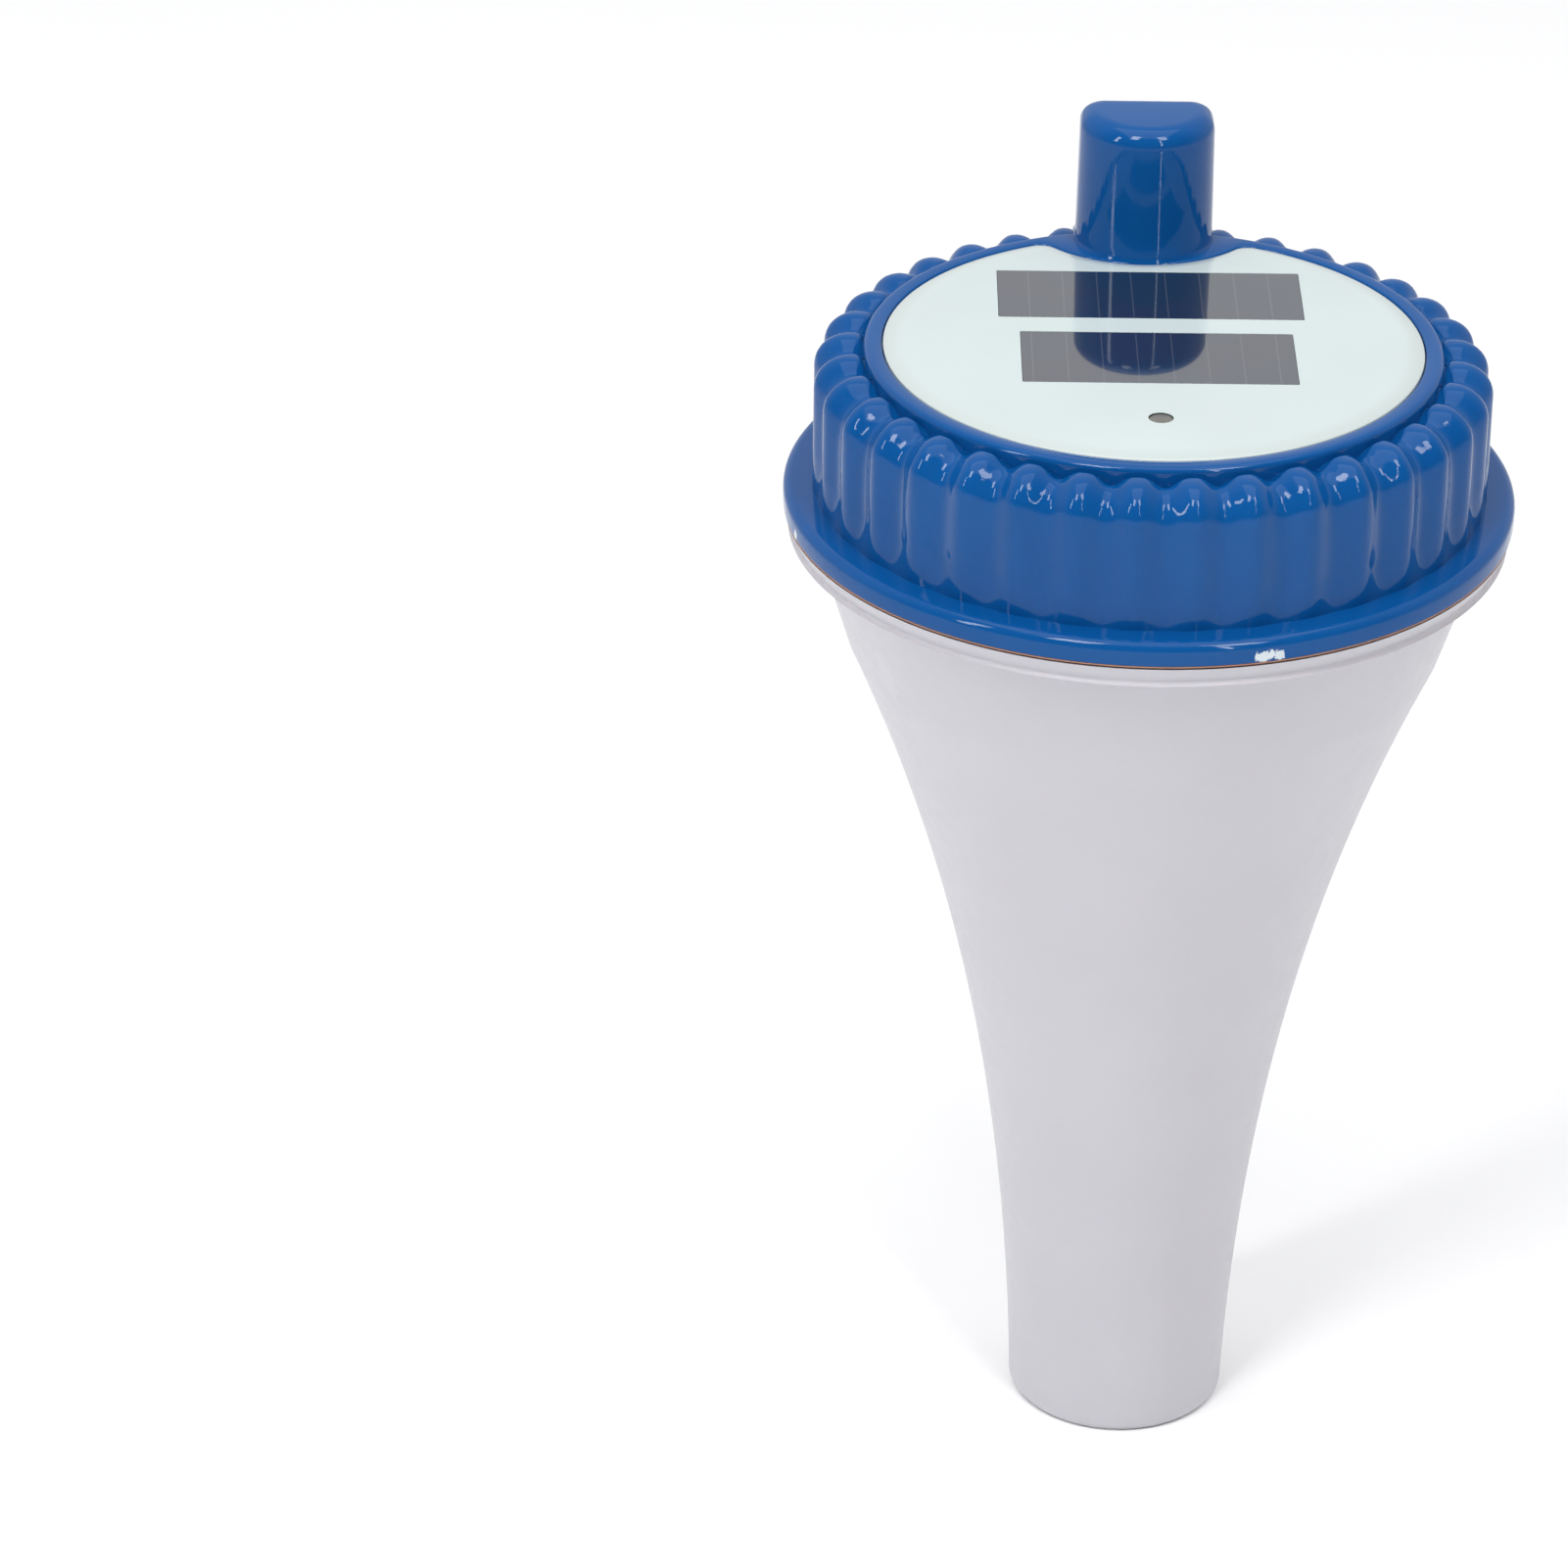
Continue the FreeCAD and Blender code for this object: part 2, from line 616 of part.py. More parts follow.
def battery_lead_places():
    """One lead above an end plate of each bay."""
    lead_x = BAY_HALF_X - CONTACT_T / 2
    return [(-lead_x, BATTERY_OFFSET), (-lead_x, -BATTERY_OFFSET)]


def battery_leads():
    return Part.makeCompound([rod(WIRE_R, CHASSIS_Z, BOARD_Z, x, y) for x, y in battery_lead_places()])


def probe_stem():
    tube = rod(STEM_R, PROBE_Z + PROBE_CUP_WALL + 6.0, CHASSIS_TOP_Z + NUT_T)
    collar = rod(STEM_COLLAR_R, CHASSIS_Z - STEM_COLLAR_T, CHASSIS_Z)
    return tube.fuse(collar).cut(rod(STEM_BORE_R, 0, RIB_TOP_Z))


def stem_nut():
    corner_r = NUT_AF / math.sqrt(3)
    corners = [Vector(corner_r, 0, CHASSIS_TOP_Z)]
    for index in range(1, 7):
        angle = math.pi * index / 3
        corners.append(Vector(corner_r * math.cos(angle), corner_r * math.sin(angle), CHASSIS_TOP_Z))
    hexagon = Part.Face(Part.makePolygon(corners)).extrude(Vector(0, 0, NUT_T))
    return hexagon.cut(rod(STEM_R + 0.05, CHASSIS_TOP_Z - 1, CHASSIS_TOP_Z + NUT_T + 1))


def probe_tip():
    cup = rod(CUP_R, PROBE_Z, PROBE_Z + PROBE_CUP_L)
    lower = [e for e in cup.Edges if isinstance(e.Curve, Part.Circle) and abs(e.Vertexes[0].Z - PROBE_Z) < 1e-6]
    cup = cup.makeFillet(1.5, lower)
    return cup.cut(rod(STEM_R + 0.05, PROBE_Z + PROBE_CUP_WALL, PROBE_Z + PROBE_CUP_L + 1))


def thermistor():
    return Part.makeSphere(BEAD_R, Vector(0, 0, PROBE_Z + PROBE_CUP_WALL + BEAD_R + BEAD_GAP))


def thermistor_leads():
    low = PROBE_Z + PROBE_CUP_WALL + 2 * BEAD_R
    return Part.makeCompound([rod(WIRE_R, low, BOARD_Z, x) for x in (-0.8, 0.8)])


def ballast_weight():
    low = HULL_FLOOR + CONTACT
    body = rod(TIP_R - HULL_WALL - RUN, low, low + BALLAST_H)
    body = body.makeChamfer(0.8, [e for e in body.Edges if isinstance(e.Curve, Part.Circle)])
    return body.cut(rod(BALLAST_BORE_R, low - 1, low + BALLAST_H + 1))


def ballast_retainer():
    low = HULL_FLOOR + BALLAST_H + 2 * CONTACT
    outer_r = TIP_R - HULL_WALL + FIT
    return ring(outer_r, BALLAST_BORE_R, low, low + RETAINER_T)


def channel_switch_body():
    body = centred_box(SWITCH_BODY, SWITCH_X, SWITCH_Y, BOARD_Z - SWITCH_BODY[2])
    slot = centred_box(
        (SLIDER_KNOB[0] + 2 * (SLIDER_TRAVEL + RUN), SLIDER_KNOB[1] + 2 * 0.15, 2.2),
        SWITCH_X,
        SWITCH_Y,
        BOARD_Z - SWITCH_BODY[2] - 0.2,
    )
    return body.cut(slot)


def channel_slider():
    top = BOARD_Z - SWITCH_BODY[2] + 1.7
    knob = centred_box(SLIDER_KNOB, SWITCH_X, SWITCH_Y, top - SLIDER_KNOB[2])
    upright = [e for e in knob.Edges if abs(e.Vertexes[0].Z - e.Vertexes[1].Z) > 1]
    return knob.makeFillet(0.3, upright)


def sync_switch_body():
    body = centred_box(BUTTON_BODY, -SWITCH_X, SWITCH_Y, BOARD_Z - BUTTON_BODY[2])
    low = BOARD_Z - BUTTON_BODY[2]
    return body.cut(rod(BUTTON_R + 0.08, low - 1, low + 2.2, -SWITCH_X, SWITCH_Y))


def sync_button():
    top = BOARD_Z - BUTTON_BODY[2] + 2.2 - BUTTON_TRAVEL - 0.3
    plunger = rod(BUTTON_R, top - BUTTON_L, top, -SWITCH_X, SWITCH_Y)
    low = [e for e in plunger.Edges if all(abs(v.Z - top + BUTTON_L) < 1e-6 for v in e.Vertexes)]
    return plunger.makeFillet(0.4, low)


PIECES = {
    "float_hull": float_hull,
    "ballast_weight": ballast_weight,
    "ballast_retainer": ballast_retainer,
    "cap_gasket": cap_gasket,
    "screw_cap": screw_cap,
    "window_lens": window_lens,
    "lens_gasket": lens_gasket,
    "cell_carrier": cell_carrier,
    "solar_cell_rear": lambda: solar_cell(REAR_CELL),
    "solar_cell_front": lambda: solar_cell(FRONT_CELL),
    "solar_leads": solar_leads,
    "light_pipe": light_pipe,
    "indicator_led": indicator_led,
    "main_board": main_board,
    "radio_shield": radio_shield,
    "controller_chip": controller_chip,
    "crystal_can": crystal_can,
    "board_capacitors": board_capacitors,
    "antenna_board": antenna_board,
    "battery_chassis": battery_chassis,
    "chassis_screws": chassis_screws,
    "battery_rear": lambda: battery(BATTERY_OFFSET),
    "battery_front": lambda: battery(-BATTERY_OFFSET),
    "contact_springs": contact_springs,
    "contact_plates": contact_plates,
    "battery_leads": battery_leads,
    "probe_stem": probe_stem,
    "stem_nut": stem_nut,
    "probe_tip": probe_tip,
    "thermistor": thermistor,
    "thermistor_leads": thermistor_leads,
    "channel_switch_body": channel_switch_body,
    "channel_slider": channel_slider,
    "sync_switch_body": sync_switch_body,
    "sync_button": sync_button,
}

os.makedirs("parts", exist_ok=True)
for piece_name, make in PIECES.items():
    piece = make()
    save(piece_name, piece)
    print(piece_name, "valid" if piece.isValid() else "INVALID", len(piece.Solids), round(piece.Volume))
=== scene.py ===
"""Looks of a floating pool thermometer: a white float, a blue screw cap and a window over two solar cells.

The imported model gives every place. The pieces that show are modelled again here in full detail, and the
pieces inside the float keep their own meshes and get finishes of their own. Sizes are in millimetres
until a mesh is made, and the scene is in metres.
"""

import logging
import math
from dataclasses import dataclass
from enum import Enum
from typing import Any, Iterable, Sequence

import bpy
from mathutils import Matrix, Vector


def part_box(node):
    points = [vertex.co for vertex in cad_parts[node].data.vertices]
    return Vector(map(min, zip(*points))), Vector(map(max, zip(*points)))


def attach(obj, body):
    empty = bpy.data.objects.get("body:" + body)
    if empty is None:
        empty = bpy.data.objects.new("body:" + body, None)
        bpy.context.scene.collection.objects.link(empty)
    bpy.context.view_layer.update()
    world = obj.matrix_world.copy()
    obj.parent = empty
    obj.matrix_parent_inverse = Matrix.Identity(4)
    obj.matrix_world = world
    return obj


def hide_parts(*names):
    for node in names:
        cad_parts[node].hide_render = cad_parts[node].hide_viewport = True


log = logging.getLogger("pool_thermometer")
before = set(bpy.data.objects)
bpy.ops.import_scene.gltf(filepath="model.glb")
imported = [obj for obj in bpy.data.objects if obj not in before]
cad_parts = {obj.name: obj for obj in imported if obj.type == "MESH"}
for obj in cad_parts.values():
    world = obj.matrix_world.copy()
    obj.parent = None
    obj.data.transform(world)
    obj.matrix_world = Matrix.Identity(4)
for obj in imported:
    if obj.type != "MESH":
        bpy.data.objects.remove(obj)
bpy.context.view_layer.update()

MM = 0.001
STACK_STEP = 5.0  # gap between two loops while they are bridged
Loop = list[tuple[float, float, float]]
Profile = list[tuple[float, float]]
Colour = tuple[float, float, float]


def node_box(node: str) -> tuple[Vector, Vector]:
    """Gives the lowest and highest corner of a CAD node, in millimetres."""
    low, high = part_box(node)
    return low / MM, high / MM


# -------------------- Bench tools --------------------


class Body(Enum):
    """The rigid bodies that the new pieces ride on."""

    FLOAT = "float"
    SEAL = "seal"
    CAP = "cap"


def take_up(*pieces: bpy.types.Object) -> None:
    """Selects only these pieces and makes the first one active."""
    bpy.ops.object.select_all(action="DESELECT")
    for piece in pieces:
        piece.select_set(True)
    bpy.context.view_layer.objects.active = pieces[0]


class Editing:
    """Edit mode on one piece, with everything selected, for the length of a with block."""

    def __init__(self, piece: bpy.types.Object) -> None:
        """Remembers the piece."""
        self.piece = piece

    def __enter__(self) -> "Editing":
        """Opens edit mode."""
        take_up(self.piece)
        bpy.ops.object.mode_set(mode="EDIT")
        bpy.ops.mesh.select_mode(type="VERT")
        bpy.ops.mesh.select_all(action="SELECT")
        return self

    def __exit__(self, *problem: Any) -> None:
        """Closes edit mode."""
        bpy.ops.object.mode_set(mode="OBJECT")

    def select_vertices(self, chosen: Iterable[int]) -> None:
        """Selects vertices by number, and the edges between them."""
        bpy.ops.mesh.select_all(action="DESELECT")
        bpy.ops.object.mode_set(mode="OBJECT")
        vertices = self.piece.data.vertices
        for number in chosen:
            vertices[number].select = True
        bpy.ops.object.mode_set(mode="EDIT")

    def weld(self, reach: float = 0.004) -> None:
        """Merges vertices closer than reach, in millimetres, and points all faces outwards."""
        bpy.ops.mesh.select_all(action="SELECT")
        bpy.ops.mesh.remove_doubles(threshold=reach * MM)
        bpy.ops.mesh.normals_make_consistent(inside=False)


def wire_piece(name: str, loops: Sequence[Loop], closed: bool) -> bpy.types.Object:
    """Makes a piece of bare edges.

    Args:
        name: The piece's name.
        loops: Runs of points in millimetres.
        closed: Whether each run joins its last point to its first.

    Returns:
        The new object, at the origin.
    """
    vertices = [tuple(value * MM for value in point) for loop in loops for point in loop]
    edges = []
    start = 0
    for loop in loops:
        count = len(loop)
        edges += [(start + i, start + i + 1) for i in range(count - 1)]
        if closed:
            edges.append((start + count - 1, start))
        start += count
    mesh = bpy.data.meshes.new(name)
    mesh.from_pydata(vertices, edges, [])
    piece = bpy.data.objects.new(name, mesh)
    bpy.context.scene.collection.objects.link(piece)
    return piece


def rounded_path(corners: Sequence[tuple[float, float, float]], arc_step: float = 12.0) -> Profile:
    """Turns (r, z, corner radius) points into an open outline with sampled arcs.

    Args:
        corners: The outline's corners.
        arc_step: The turn between two samples of an arc, in degrees.

    Returns:
        Points of the outline.
    """
    path: Profile = [corners[0][:2]]
    for before, here, after in zip(corners, corners[1:], corners[2:]):
        corner = Vector(here[:2])
        back = (Vector(before[:2]) - corner).normalized()
        ahead = (Vector(after[:2]) - corner).normalized()
        half = back.angle(ahead) / 2
        if here[2] <= 0 or half > math.radians(89.5):
            path.append(here[:2])
            continue
        reach = here[2] / math.tan(half)
        centre = corner + (back + ahead).normalized() * (here[2] / math.sin(half))
        first = corner + back * reach - centre
        turn = math.pi - 2 * half
        side = 1.0 if first.x * ahead.y - first.y * ahead.x > 0 else -1.0
        steps = max(2, round(math.degrees(turn) / arc_step))
        for step in range(steps + 1):
            spoke = first.copy()
            spoke.rotate(Matrix.Rotation(side * turn * step / steps, 2))
            path.append(tuple(centre + spoke))
    path.append(corners[-1][:2])
    return path


def turned_piece(name: str, profile: Profile, steps: int) -> bpy.types.Object:
    """Spins an (r, z) outline a full turn about the Z axis.

    Args:
        name: The piece's name.
        profile: The outline.
        steps: The number of steps in the turn.

    Returns:
        The new object.
    """
    piece = wire_piece(name, [[(r, 0.0, z) for r, z in profile]], closed=False)
    with Editing(piece) as edit:
        bpy.ops.mesh.spin(steps=steps, angle=math.tau, center=(0, 0, 0), axis=(0, 0, 1))
        edit.weld()
    return piece


def bridged_piece(name: str, loops: Sequence[Loop], ends: Sequence[int] = ()) -> bpy.types.Object:
    """Bridges each closed loop to the next one.

    The loops are bridged in a straight stack and then put in their places, so flat and nested loops
    pair up well.

    Args:
        name: The piece's name.
        loops: Loops with the same number of points, in order.
        ends: The numbers of the loops that are filled by a face.

    Returns:
        The new object.
    """
    stack = [[(x, y, STACK_STEP * level) for x, y, _ in loop] for level, loop in enumerate(loops)]
    piece = wire_piece(name, stack, closed=True)
    count = len(loops[0])
    with Editing(piece) as edit:
        for number in range(len(loops) - 1):
            edit.select_vertices(range(number * count, (number + 2) * count))
            bpy.ops.mesh.bridge_edge_loops()
        for number in ends:
            edit.select_vertices(range(number * count, (number + 1) * count))
            bpy.ops.mesh.edge_face_add()
    places = [point for loop in loops for point in loop]
    for vertex, place in zip(piece.data.vertices, places):
        vertex.co = Vector(place) * MM
    with Editing(piece) as edit:
        edit.weld()
    return piece


def modify(piece: bpy.types.Object, kind: str, **settings: Any) -> None:
    """Adds a modifier with these settings and applies it."""
    take_up(piece)
    modifier = piece.modifiers.new(kind.lower(), kind)
    for setting, value in settings.items():
        setattr(modifier, setting, value)
    bpy.ops.object.modifier_apply(modifier=modifier.name)


def joined(pieces: Sequence[bpy.types.Object]) -> bpy.types.Object:
    """Joins pieces into the first one."""
    take_up(*pieces)
    bpy.ops.object.join()
    return pieces[0]


def dress(piece: bpy.types.Object, material: bpy.types.Material) -> None:
    """Gives a piece one material all over."""
    piece.data.materials.clear()
    piece.data.materials.append(material)


def hand_over(
    piece: bpy.types.Object,
    finish: bpy.types.Material,
    body: Body,
    replaced: Sequence[str] = (),
    crisp: float = 40.0,
) -> None:
    """Shades and dresses a piece, puts it on its body, and hides the CAD nodes it stands for.

    Args:
        piece: The modelled piece.
        finish: Its material.
        body: The body it rides on.
        replaced: The CAD nodes it stands for.
        crisp: The angle, in degrees, above which an edge stays crisp.
    """
    take_up(piece)
    bpy.ops.object.shade_smooth_by_angle(angle=math.radians(crisp))
    dress(piece, finish)
    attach(piece, body.value)
    if replaced:
        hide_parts(*replaced)
    log.info("%s rides on %s, %d faces", piece.name, body.value, len(piece.data.polygons))


def eased(share: float) -> float:
    """Clamps a share to the range from 0 to 1 and eases it at both ends."""
    share = min(max(share, 0.0), 1.0)
    return share * share * (3 - 2 * share)


def disc_loop(radius: float, z: float, count: int, x: float = 0.0, y: float = 0.0) -> Loop:
    """Gives a round loop of points."""
    turns = [math.tau * i / count for i in range(count)]
    return [(x + radius * math.cos(a), y + radius * math.sin(a), z) for a in turns]


def thread_ridge(
    name: str, root_r: float, crest_r: float, z: float, pitch: float, turns: float
) -> bpy.types.Object:
    """Makes a right-handed screw ridge.

    Args:
        name: The piece's name.
        root_r: Radius of the ridge's foot.
        crest_r: Radius of the ridge's crest.
        z: Height at which the ridge starts.
        pitch: Rise in one turn.
        turns: The number of turns.

    Returns:
        The closed ridge.
    """
    foot, crest = 0.75, 0.4
    section = [(root_r, 0, z - foot), (crest_r, 0, z - crest), (crest_r, 0, z + crest), (root_r, 0, z + foot)]
    ridge = wire_piece(name, [section], closed=True)
    steps = round(turns * 96)
    modify(
        ridge,
        "SCREW",
        angle=math.tau * turns,
        screw_offset=pitch * turns * MM,
        steps=steps,
        render_steps=steps,
        use_merge_vertices=False,
        use_smooth_shade=True,
    )
    with Editing(ridge) as edit:
        bpy.ops.mesh.fill_holes(sides=0)
        edit.weld(0.001)
    return ridge


# -------------------- Finishes --------------------


class NodeSheet:
    """A node tree that is filled by short calls."""

    def __init__(self, tree: bpy.types.NodeTree) -> None:
        """Clears the tree."""
        self.tree = tree
        tree.nodes.clear()

    def add(self, kind: str, inputs: dict[Any, Any] | None = None, **settings: Any) -> bpy.types.Node:
        """Adds a node.

        Args:
            kind: The node type's name.
            inputs: For each input, a socket to link from or a constant value.
            settings: Settings of the node itself.

        Returns:
            The new node.
        """
        node = self.tree.nodes.new(kind)
        for setting, value in settings.items():
            setattr(node, setting, value)
        for socket, value in (inputs or {}).items():
            if isinstance(value, bpy.types.NodeSocket):
                self.tree.links.new(value, node.inputs[socket])
            else:
                node.inputs[socket].default_value = value
        return node

    def math(self, operation: str, *values: Any) -> bpy.types.NodeSocket:
        """Adds a Math node and gives its result."""
        return self.add("ShaderNodeMath", dict(enumerate(values)), operation=operation).outputs[0]

    def vector_math(self, operation: str, *values: Any) -> bpy.types.Node:
        """Adds a Vector Math node."""
        return self.add("ShaderNodeVectorMath", dict(enumerate(values)), operation=operation)

    def mix(self, share: Any, first: Any, second: Any) -> bpy.types.NodeSocket:
        """Mixes two colours and gives the result."""
        node = self.add("ShaderNodeMix", {0: share, 6: first, 7: second}, data_type="RGBA")
        return node.outputs[2]

    def ramp(self, value: Any, low: float, high: float, to_low: float = 0.0, to_high: float = 1.0) -> Any:
        """Maps a value from one range to another, smoothly and clamped."""
        inputs = {"Value": value, "From Min": low, "From Max": high, "To Min": to_low, "To Max": to_high}
        return self.add("ShaderNodeMapRange", inputs, interpolation_type="SMOOTHSTEP").outputs[0]

    def noise(self, where: Any, scale: float, detail: float = 3.0, roughness: float = 0.5) -> Any:
        """Adds a noise texture and gives its factor."""
        inputs = {"Vector": where, "Scale": scale, "Detail": detail, "Roughness": roughness}
        return self.add("ShaderNodeTexNoise", inputs).outputs[0]

    def object_place(self) -> bpy.types.NodeSocket:
        """Gives the surface point in the piece's own coordinates."""
        return self.add("ShaderNodeTexCoord").outputs["Object"]

    def moulded(self, grain_scale: float, grain_depth: float) -> bpy.types.Node:
        """Places the group for moulded surfaces."""
        node = self.add("ShaderNodeGroup", node_tree=GROUPS["moulding"])
        node.inputs["Grain scale"].default_value = grain_scale
        node.inputs["Grain depth"].default_value = grain_depth
        return node

    def scratched(self, amount: float) -> bpy.types.NodeSocket:
        """Places the group for scratches and gives its mask."""
        return self.add("ShaderNodeGroup", {"Amount": amount}, node_tree=GROUPS["scratch"]).outputs["Mask"]

    def close_surface(self, inputs: dict[str, Any], kind: str = "ShaderNodeBsdfPrincipled") -> None:
        """Adds the shader with these inputs and wires it to the material's output."""
        shader = self.add(kind, inputs)
        self.add("ShaderNodeOutputMaterial", {"Surface": shader.outputs[0]})


def new_material(name: str) -> tuple[bpy.types.Material, NodeSheet]:
    """Starts a material with an empty sheet."""
    made = bpy.data.materials.new(name)
    made.use_nodes = True
    return made, NodeSheet(made.node_tree)


def rgba(colour: Colour) -> tuple[float, float, float, float]:
    """Adds full opacity to a colour."""
    return (*colour, 1.0)


def new_group(name: str, inputs: dict[str, str], outputs: dict[str, str]) -> tuple[NodeSheet, Any, Any]:
    """Starts a node group.

    Args:
        name: The group's name.
        inputs: Socket types of its inputs, by name.
        outputs: Socket types of its outputs, by name.

    Returns:
        The sheet to fill, the group's input node and its output node.
    """
    tree = bpy.data.node_groups.new(name, "ShaderNodeTree")
    for socket, kind in inputs.items():
        tree.interface.new_socket(name=socket, in_out="INPUT", socket_type=kind)
    for socket, kind in outputs.items():
        tree.interface.new_socket(name=socket, in_out="OUTPUT", socket_type=kind)
    sheet = NodeSheet(tree)
    return sheet, sheet.add("NodeGroupInput"), sheet.add("NodeGroupOutput")


def moulding_group() -> bpy.types.NodeTree:
    """Builds the group for moulded surfaces: a slow mottle, a fine haze and a grain normal.

    Returns:
        The node group.
    """
    values = {"Grain scale": "NodeSocketFloat", "Grain depth": "NodeSocketFloat"}
    results = {"Mottle": "NodeSocketFloat", "Haze": "NodeSocketFloat", "Normal": "NodeSocketVector"}
    sheet, given, result = new_group("moulded_surface", values, results)
    where = sheet.object_place()
    mottle = sheet.noise(where, 28.0, 3.0, 0.55)
    haze = sheet.noise(where, 420.0, 4.0, 0.6)
    grain_inputs = {"Vector": where, "Scale": given.outputs["Grain scale"], "Detail": 2.0, "Roughness": 0.5}
    grain = sheet.add("ShaderNodeTexNoise", grain_inputs).outputs[0]
    flow = sheet.noise(where, 95.0, 2.0, 0.4)
    height = sheet.math("MULTIPLY_ADD", flow, 0.6, grain)
    bump_inputs = {"Strength": given.outputs["Grain depth"], "Distance": 0.0002, "Height": height}
    bump = sheet.add("ShaderNodeBump", bump_inputs)
    for socket, value in (("Mottle", mottle), ("Haze", haze), ("Normal", bump.outputs[0])):
        sheet.tree.links.new(value, result.inputs[socket])
    return sheet.tree


def scuff_group() -> bpy.types.NodeTree:
    """Builds the group for one ragged scuffed spot.

    Returns:
        The node group.
    """
    values = {"Centre": "NodeSocketVector", "Reach": "NodeSocketFloat", "Flatness": "NodeSocketFloat"}
    sheet, given, result = new_group("scuffed_spot", values, {"Mask": "NodeSocketFloat"})
    where = sheet.object_place()
    apart = sheet.vector_math("SUBTRACT", where, given.outputs["Centre"]).outputs[0]
    stretch = sheet.add("ShaderNodeCombineXYZ", {0: 1.0, 1: 1.0, 2: given.outputs["Flatness"]}).outputs[0]
    shaped = sheet.vector_math("MULTIPLY", apart, stretch).outputs[0]
    distance = sheet.vector_math("LENGTH", shaped).outputs["Value"]
    ragged = sheet.noise(where, 900.0, 5.0, 0.75)
    wander = sheet.math("MULTIPLY", sheet.math("SUBTRACT", ragged, 0.5), given.outputs["Reach"])
    spread = sheet.math("MULTIPLY_ADD", wander, 3.4, distance)
    share = sheet.math("DIVIDE", spread, given.outputs["Reach"])
    sheet.tree.links.new(sheet.ramp(share, 0.75, 1.0, 1.0, 0.0), result.inputs["Mask"])
    return sheet.tree


def scratch_group() -> bpy.types.NodeTree:
    """Builds the group for sparse handling scratches.

    Returns:
        The node group.
    """
    results = {"Mask": "NodeSocketFloat"}
    sheet, given, result = new_group("hair_scratches", {"Amount": "NodeSocketFloat"}, results)
    where = sheet.object_place()
    masks = []
    for turn, scale in ((0.35, 130.0), (-0.8, 170.0)):
        mapping = {"Vector": where, "Rotation": (0.4, turn, 0.2), "Scale": (1.0, 0.05, 1.0)}
        stretched = sheet.add("ShaderNodeMapping", mapping).outputs[0]
        cells = {"Vector": stretched, "Scale": scale}
        edge = sheet.add("ShaderNodeTexVoronoi", cells, feature="DISTANCE_TO_EDGE").outputs["Distance"]
        masks.append(sheet.ramp(edge, 0.0, 0.012, 1.0, 0.0))
    both = sheet.math("MAXIMUM", *masks)
    patches = sheet.ramp(sheet.noise(where, 60.0, 2.0), 0.56, 0.7)
    thin = sheet.math("MULTIPLY", both, patches)
    sheet.tree.links.new(sheet.math("MULTIPLY", thin, given.outputs["Amount"]), result.inputs["Mask"])
    return sheet.tree


GROUPS = {"moulding": moulding_group(), "scuff": scuff_group(), "scratch": scratch_group()}


@dataclass(frozen=True)
class Scuff:
    """A worn spot: its centre in millimetres, its reach, and how much it is flattened in height."""

    centre: tuple[float, float, float]
    reach: float
    flatness: float = 1.0


@dataclass(frozen=True)
class MouldedPlastic:
    """A moulded plastic or rubber surface with mottle, haze, grain, scratches and scuffs."""

    name: str
    colour: Colour
    tint: Colour
    roughness: float
    specular: float = 0.5
    coat: float = 0.0
    coat_roughness: float = 0.05
    grain_scale: float = 1400.0
    grain_depth: float = 0.05
    haze_spread: float = 0.05
    scratches: float = 0.3
    subsurface: float = 0.0
    scuff_colour: Colour = (0.6, 0.66, 0.7)
    scuffs: tuple[Scuff, ...] = ()

    def material(self) -> bpy.types.Material:
        """Builds the material."""
        made, sheet = new_material(self.name)
        surface = sheet.moulded(self.grain_scale, self.grain_depth)
        scratch = sheet.scratched(self.scratches)
        tone = sheet.ramp(surface.outputs["Mottle"], 0.3, 0.7)
        colour = sheet.mix(tone, rgba(self.colour), rgba(self.tint))
        low, high = self.roughness - self.haze_spread, self.roughness + self.haze_spread
        rough = sheet.ramp(surface.outputs["Haze"], 0.3, 0.7, low, high)
        rough = sheet.math("MULTIPLY_ADD", scratch, 0.25, rough)
        for scuff in self.scuffs:
            centre = tuple(value * MM for value in scuff.centre)
            spot = {"Centre": centre, "Reach": scuff.reach * MM, "Flatness": scuff.flatness}
            mask = sheet.add("ShaderNodeGroup", spot, node_tree=GROUPS["scuff"]).outputs["Mask"]
            colour = sheet.mix(mask, colour, rgba(self.scuff_colour))
            rough = sheet.math("MULTIPLY_ADD", mask, 0.3, rough)
        inputs = {
            "Base Color": colour,
            "Roughness": rough,
            "Normal": surface.outputs["Normal"],
            "Specular IOR Level": self.specular,
            "Coat Weight": self.coat,
            "Coat Roughness": self.coat_roughness,
            "Subsurface Weight": self.subsurface,
            "Subsurface Scale": 2 * MM,
        }
        sheet.close_surface(inputs)
        return made


@dataclass(frozen=True)
class BareMetal:
    """A metal surface with fine drawn lines and a little tarnish."""

    name: str
    colour: Colour
    tarnish: Colour
    roughness: float
    line_stretch: tuple[float, float, float] = (1.0, 1.0, 12.0)

    def material(self) -> bpy.types.Material:
        """Builds the material."""
        made, sheet = new_material(self.name)
        where = sheet.object_place()
        lined = sheet.add("ShaderNodeMapping", {"Vector": where, "Scale": self.line_stretch}).outputs[0]
        lines = sheet.noise(lined, 700.0, 3.0, 0.6)
        patches = sheet.ramp(sheet.noise(where, 90.0, 4.0, 0.6), 0.45, 0.75)
        colour = sheet.mix(patches, rgba(self.colour), rgba(self.tarnish))
        rough = sheet.ramp(lines, 0.2, 0.8, self.roughness - 0.08, self.roughness + 0.12)
        bump = sheet.add("ShaderNodeBump", {"Strength": 0.25, "Distance": 0.0001, "Height": lines})
        inputs = {"Base Color": colour, "Roughness": rough, "Normal": bump.outputs[0], "Metallic": 1.0}
        sheet.close_surface(inputs)
        return made


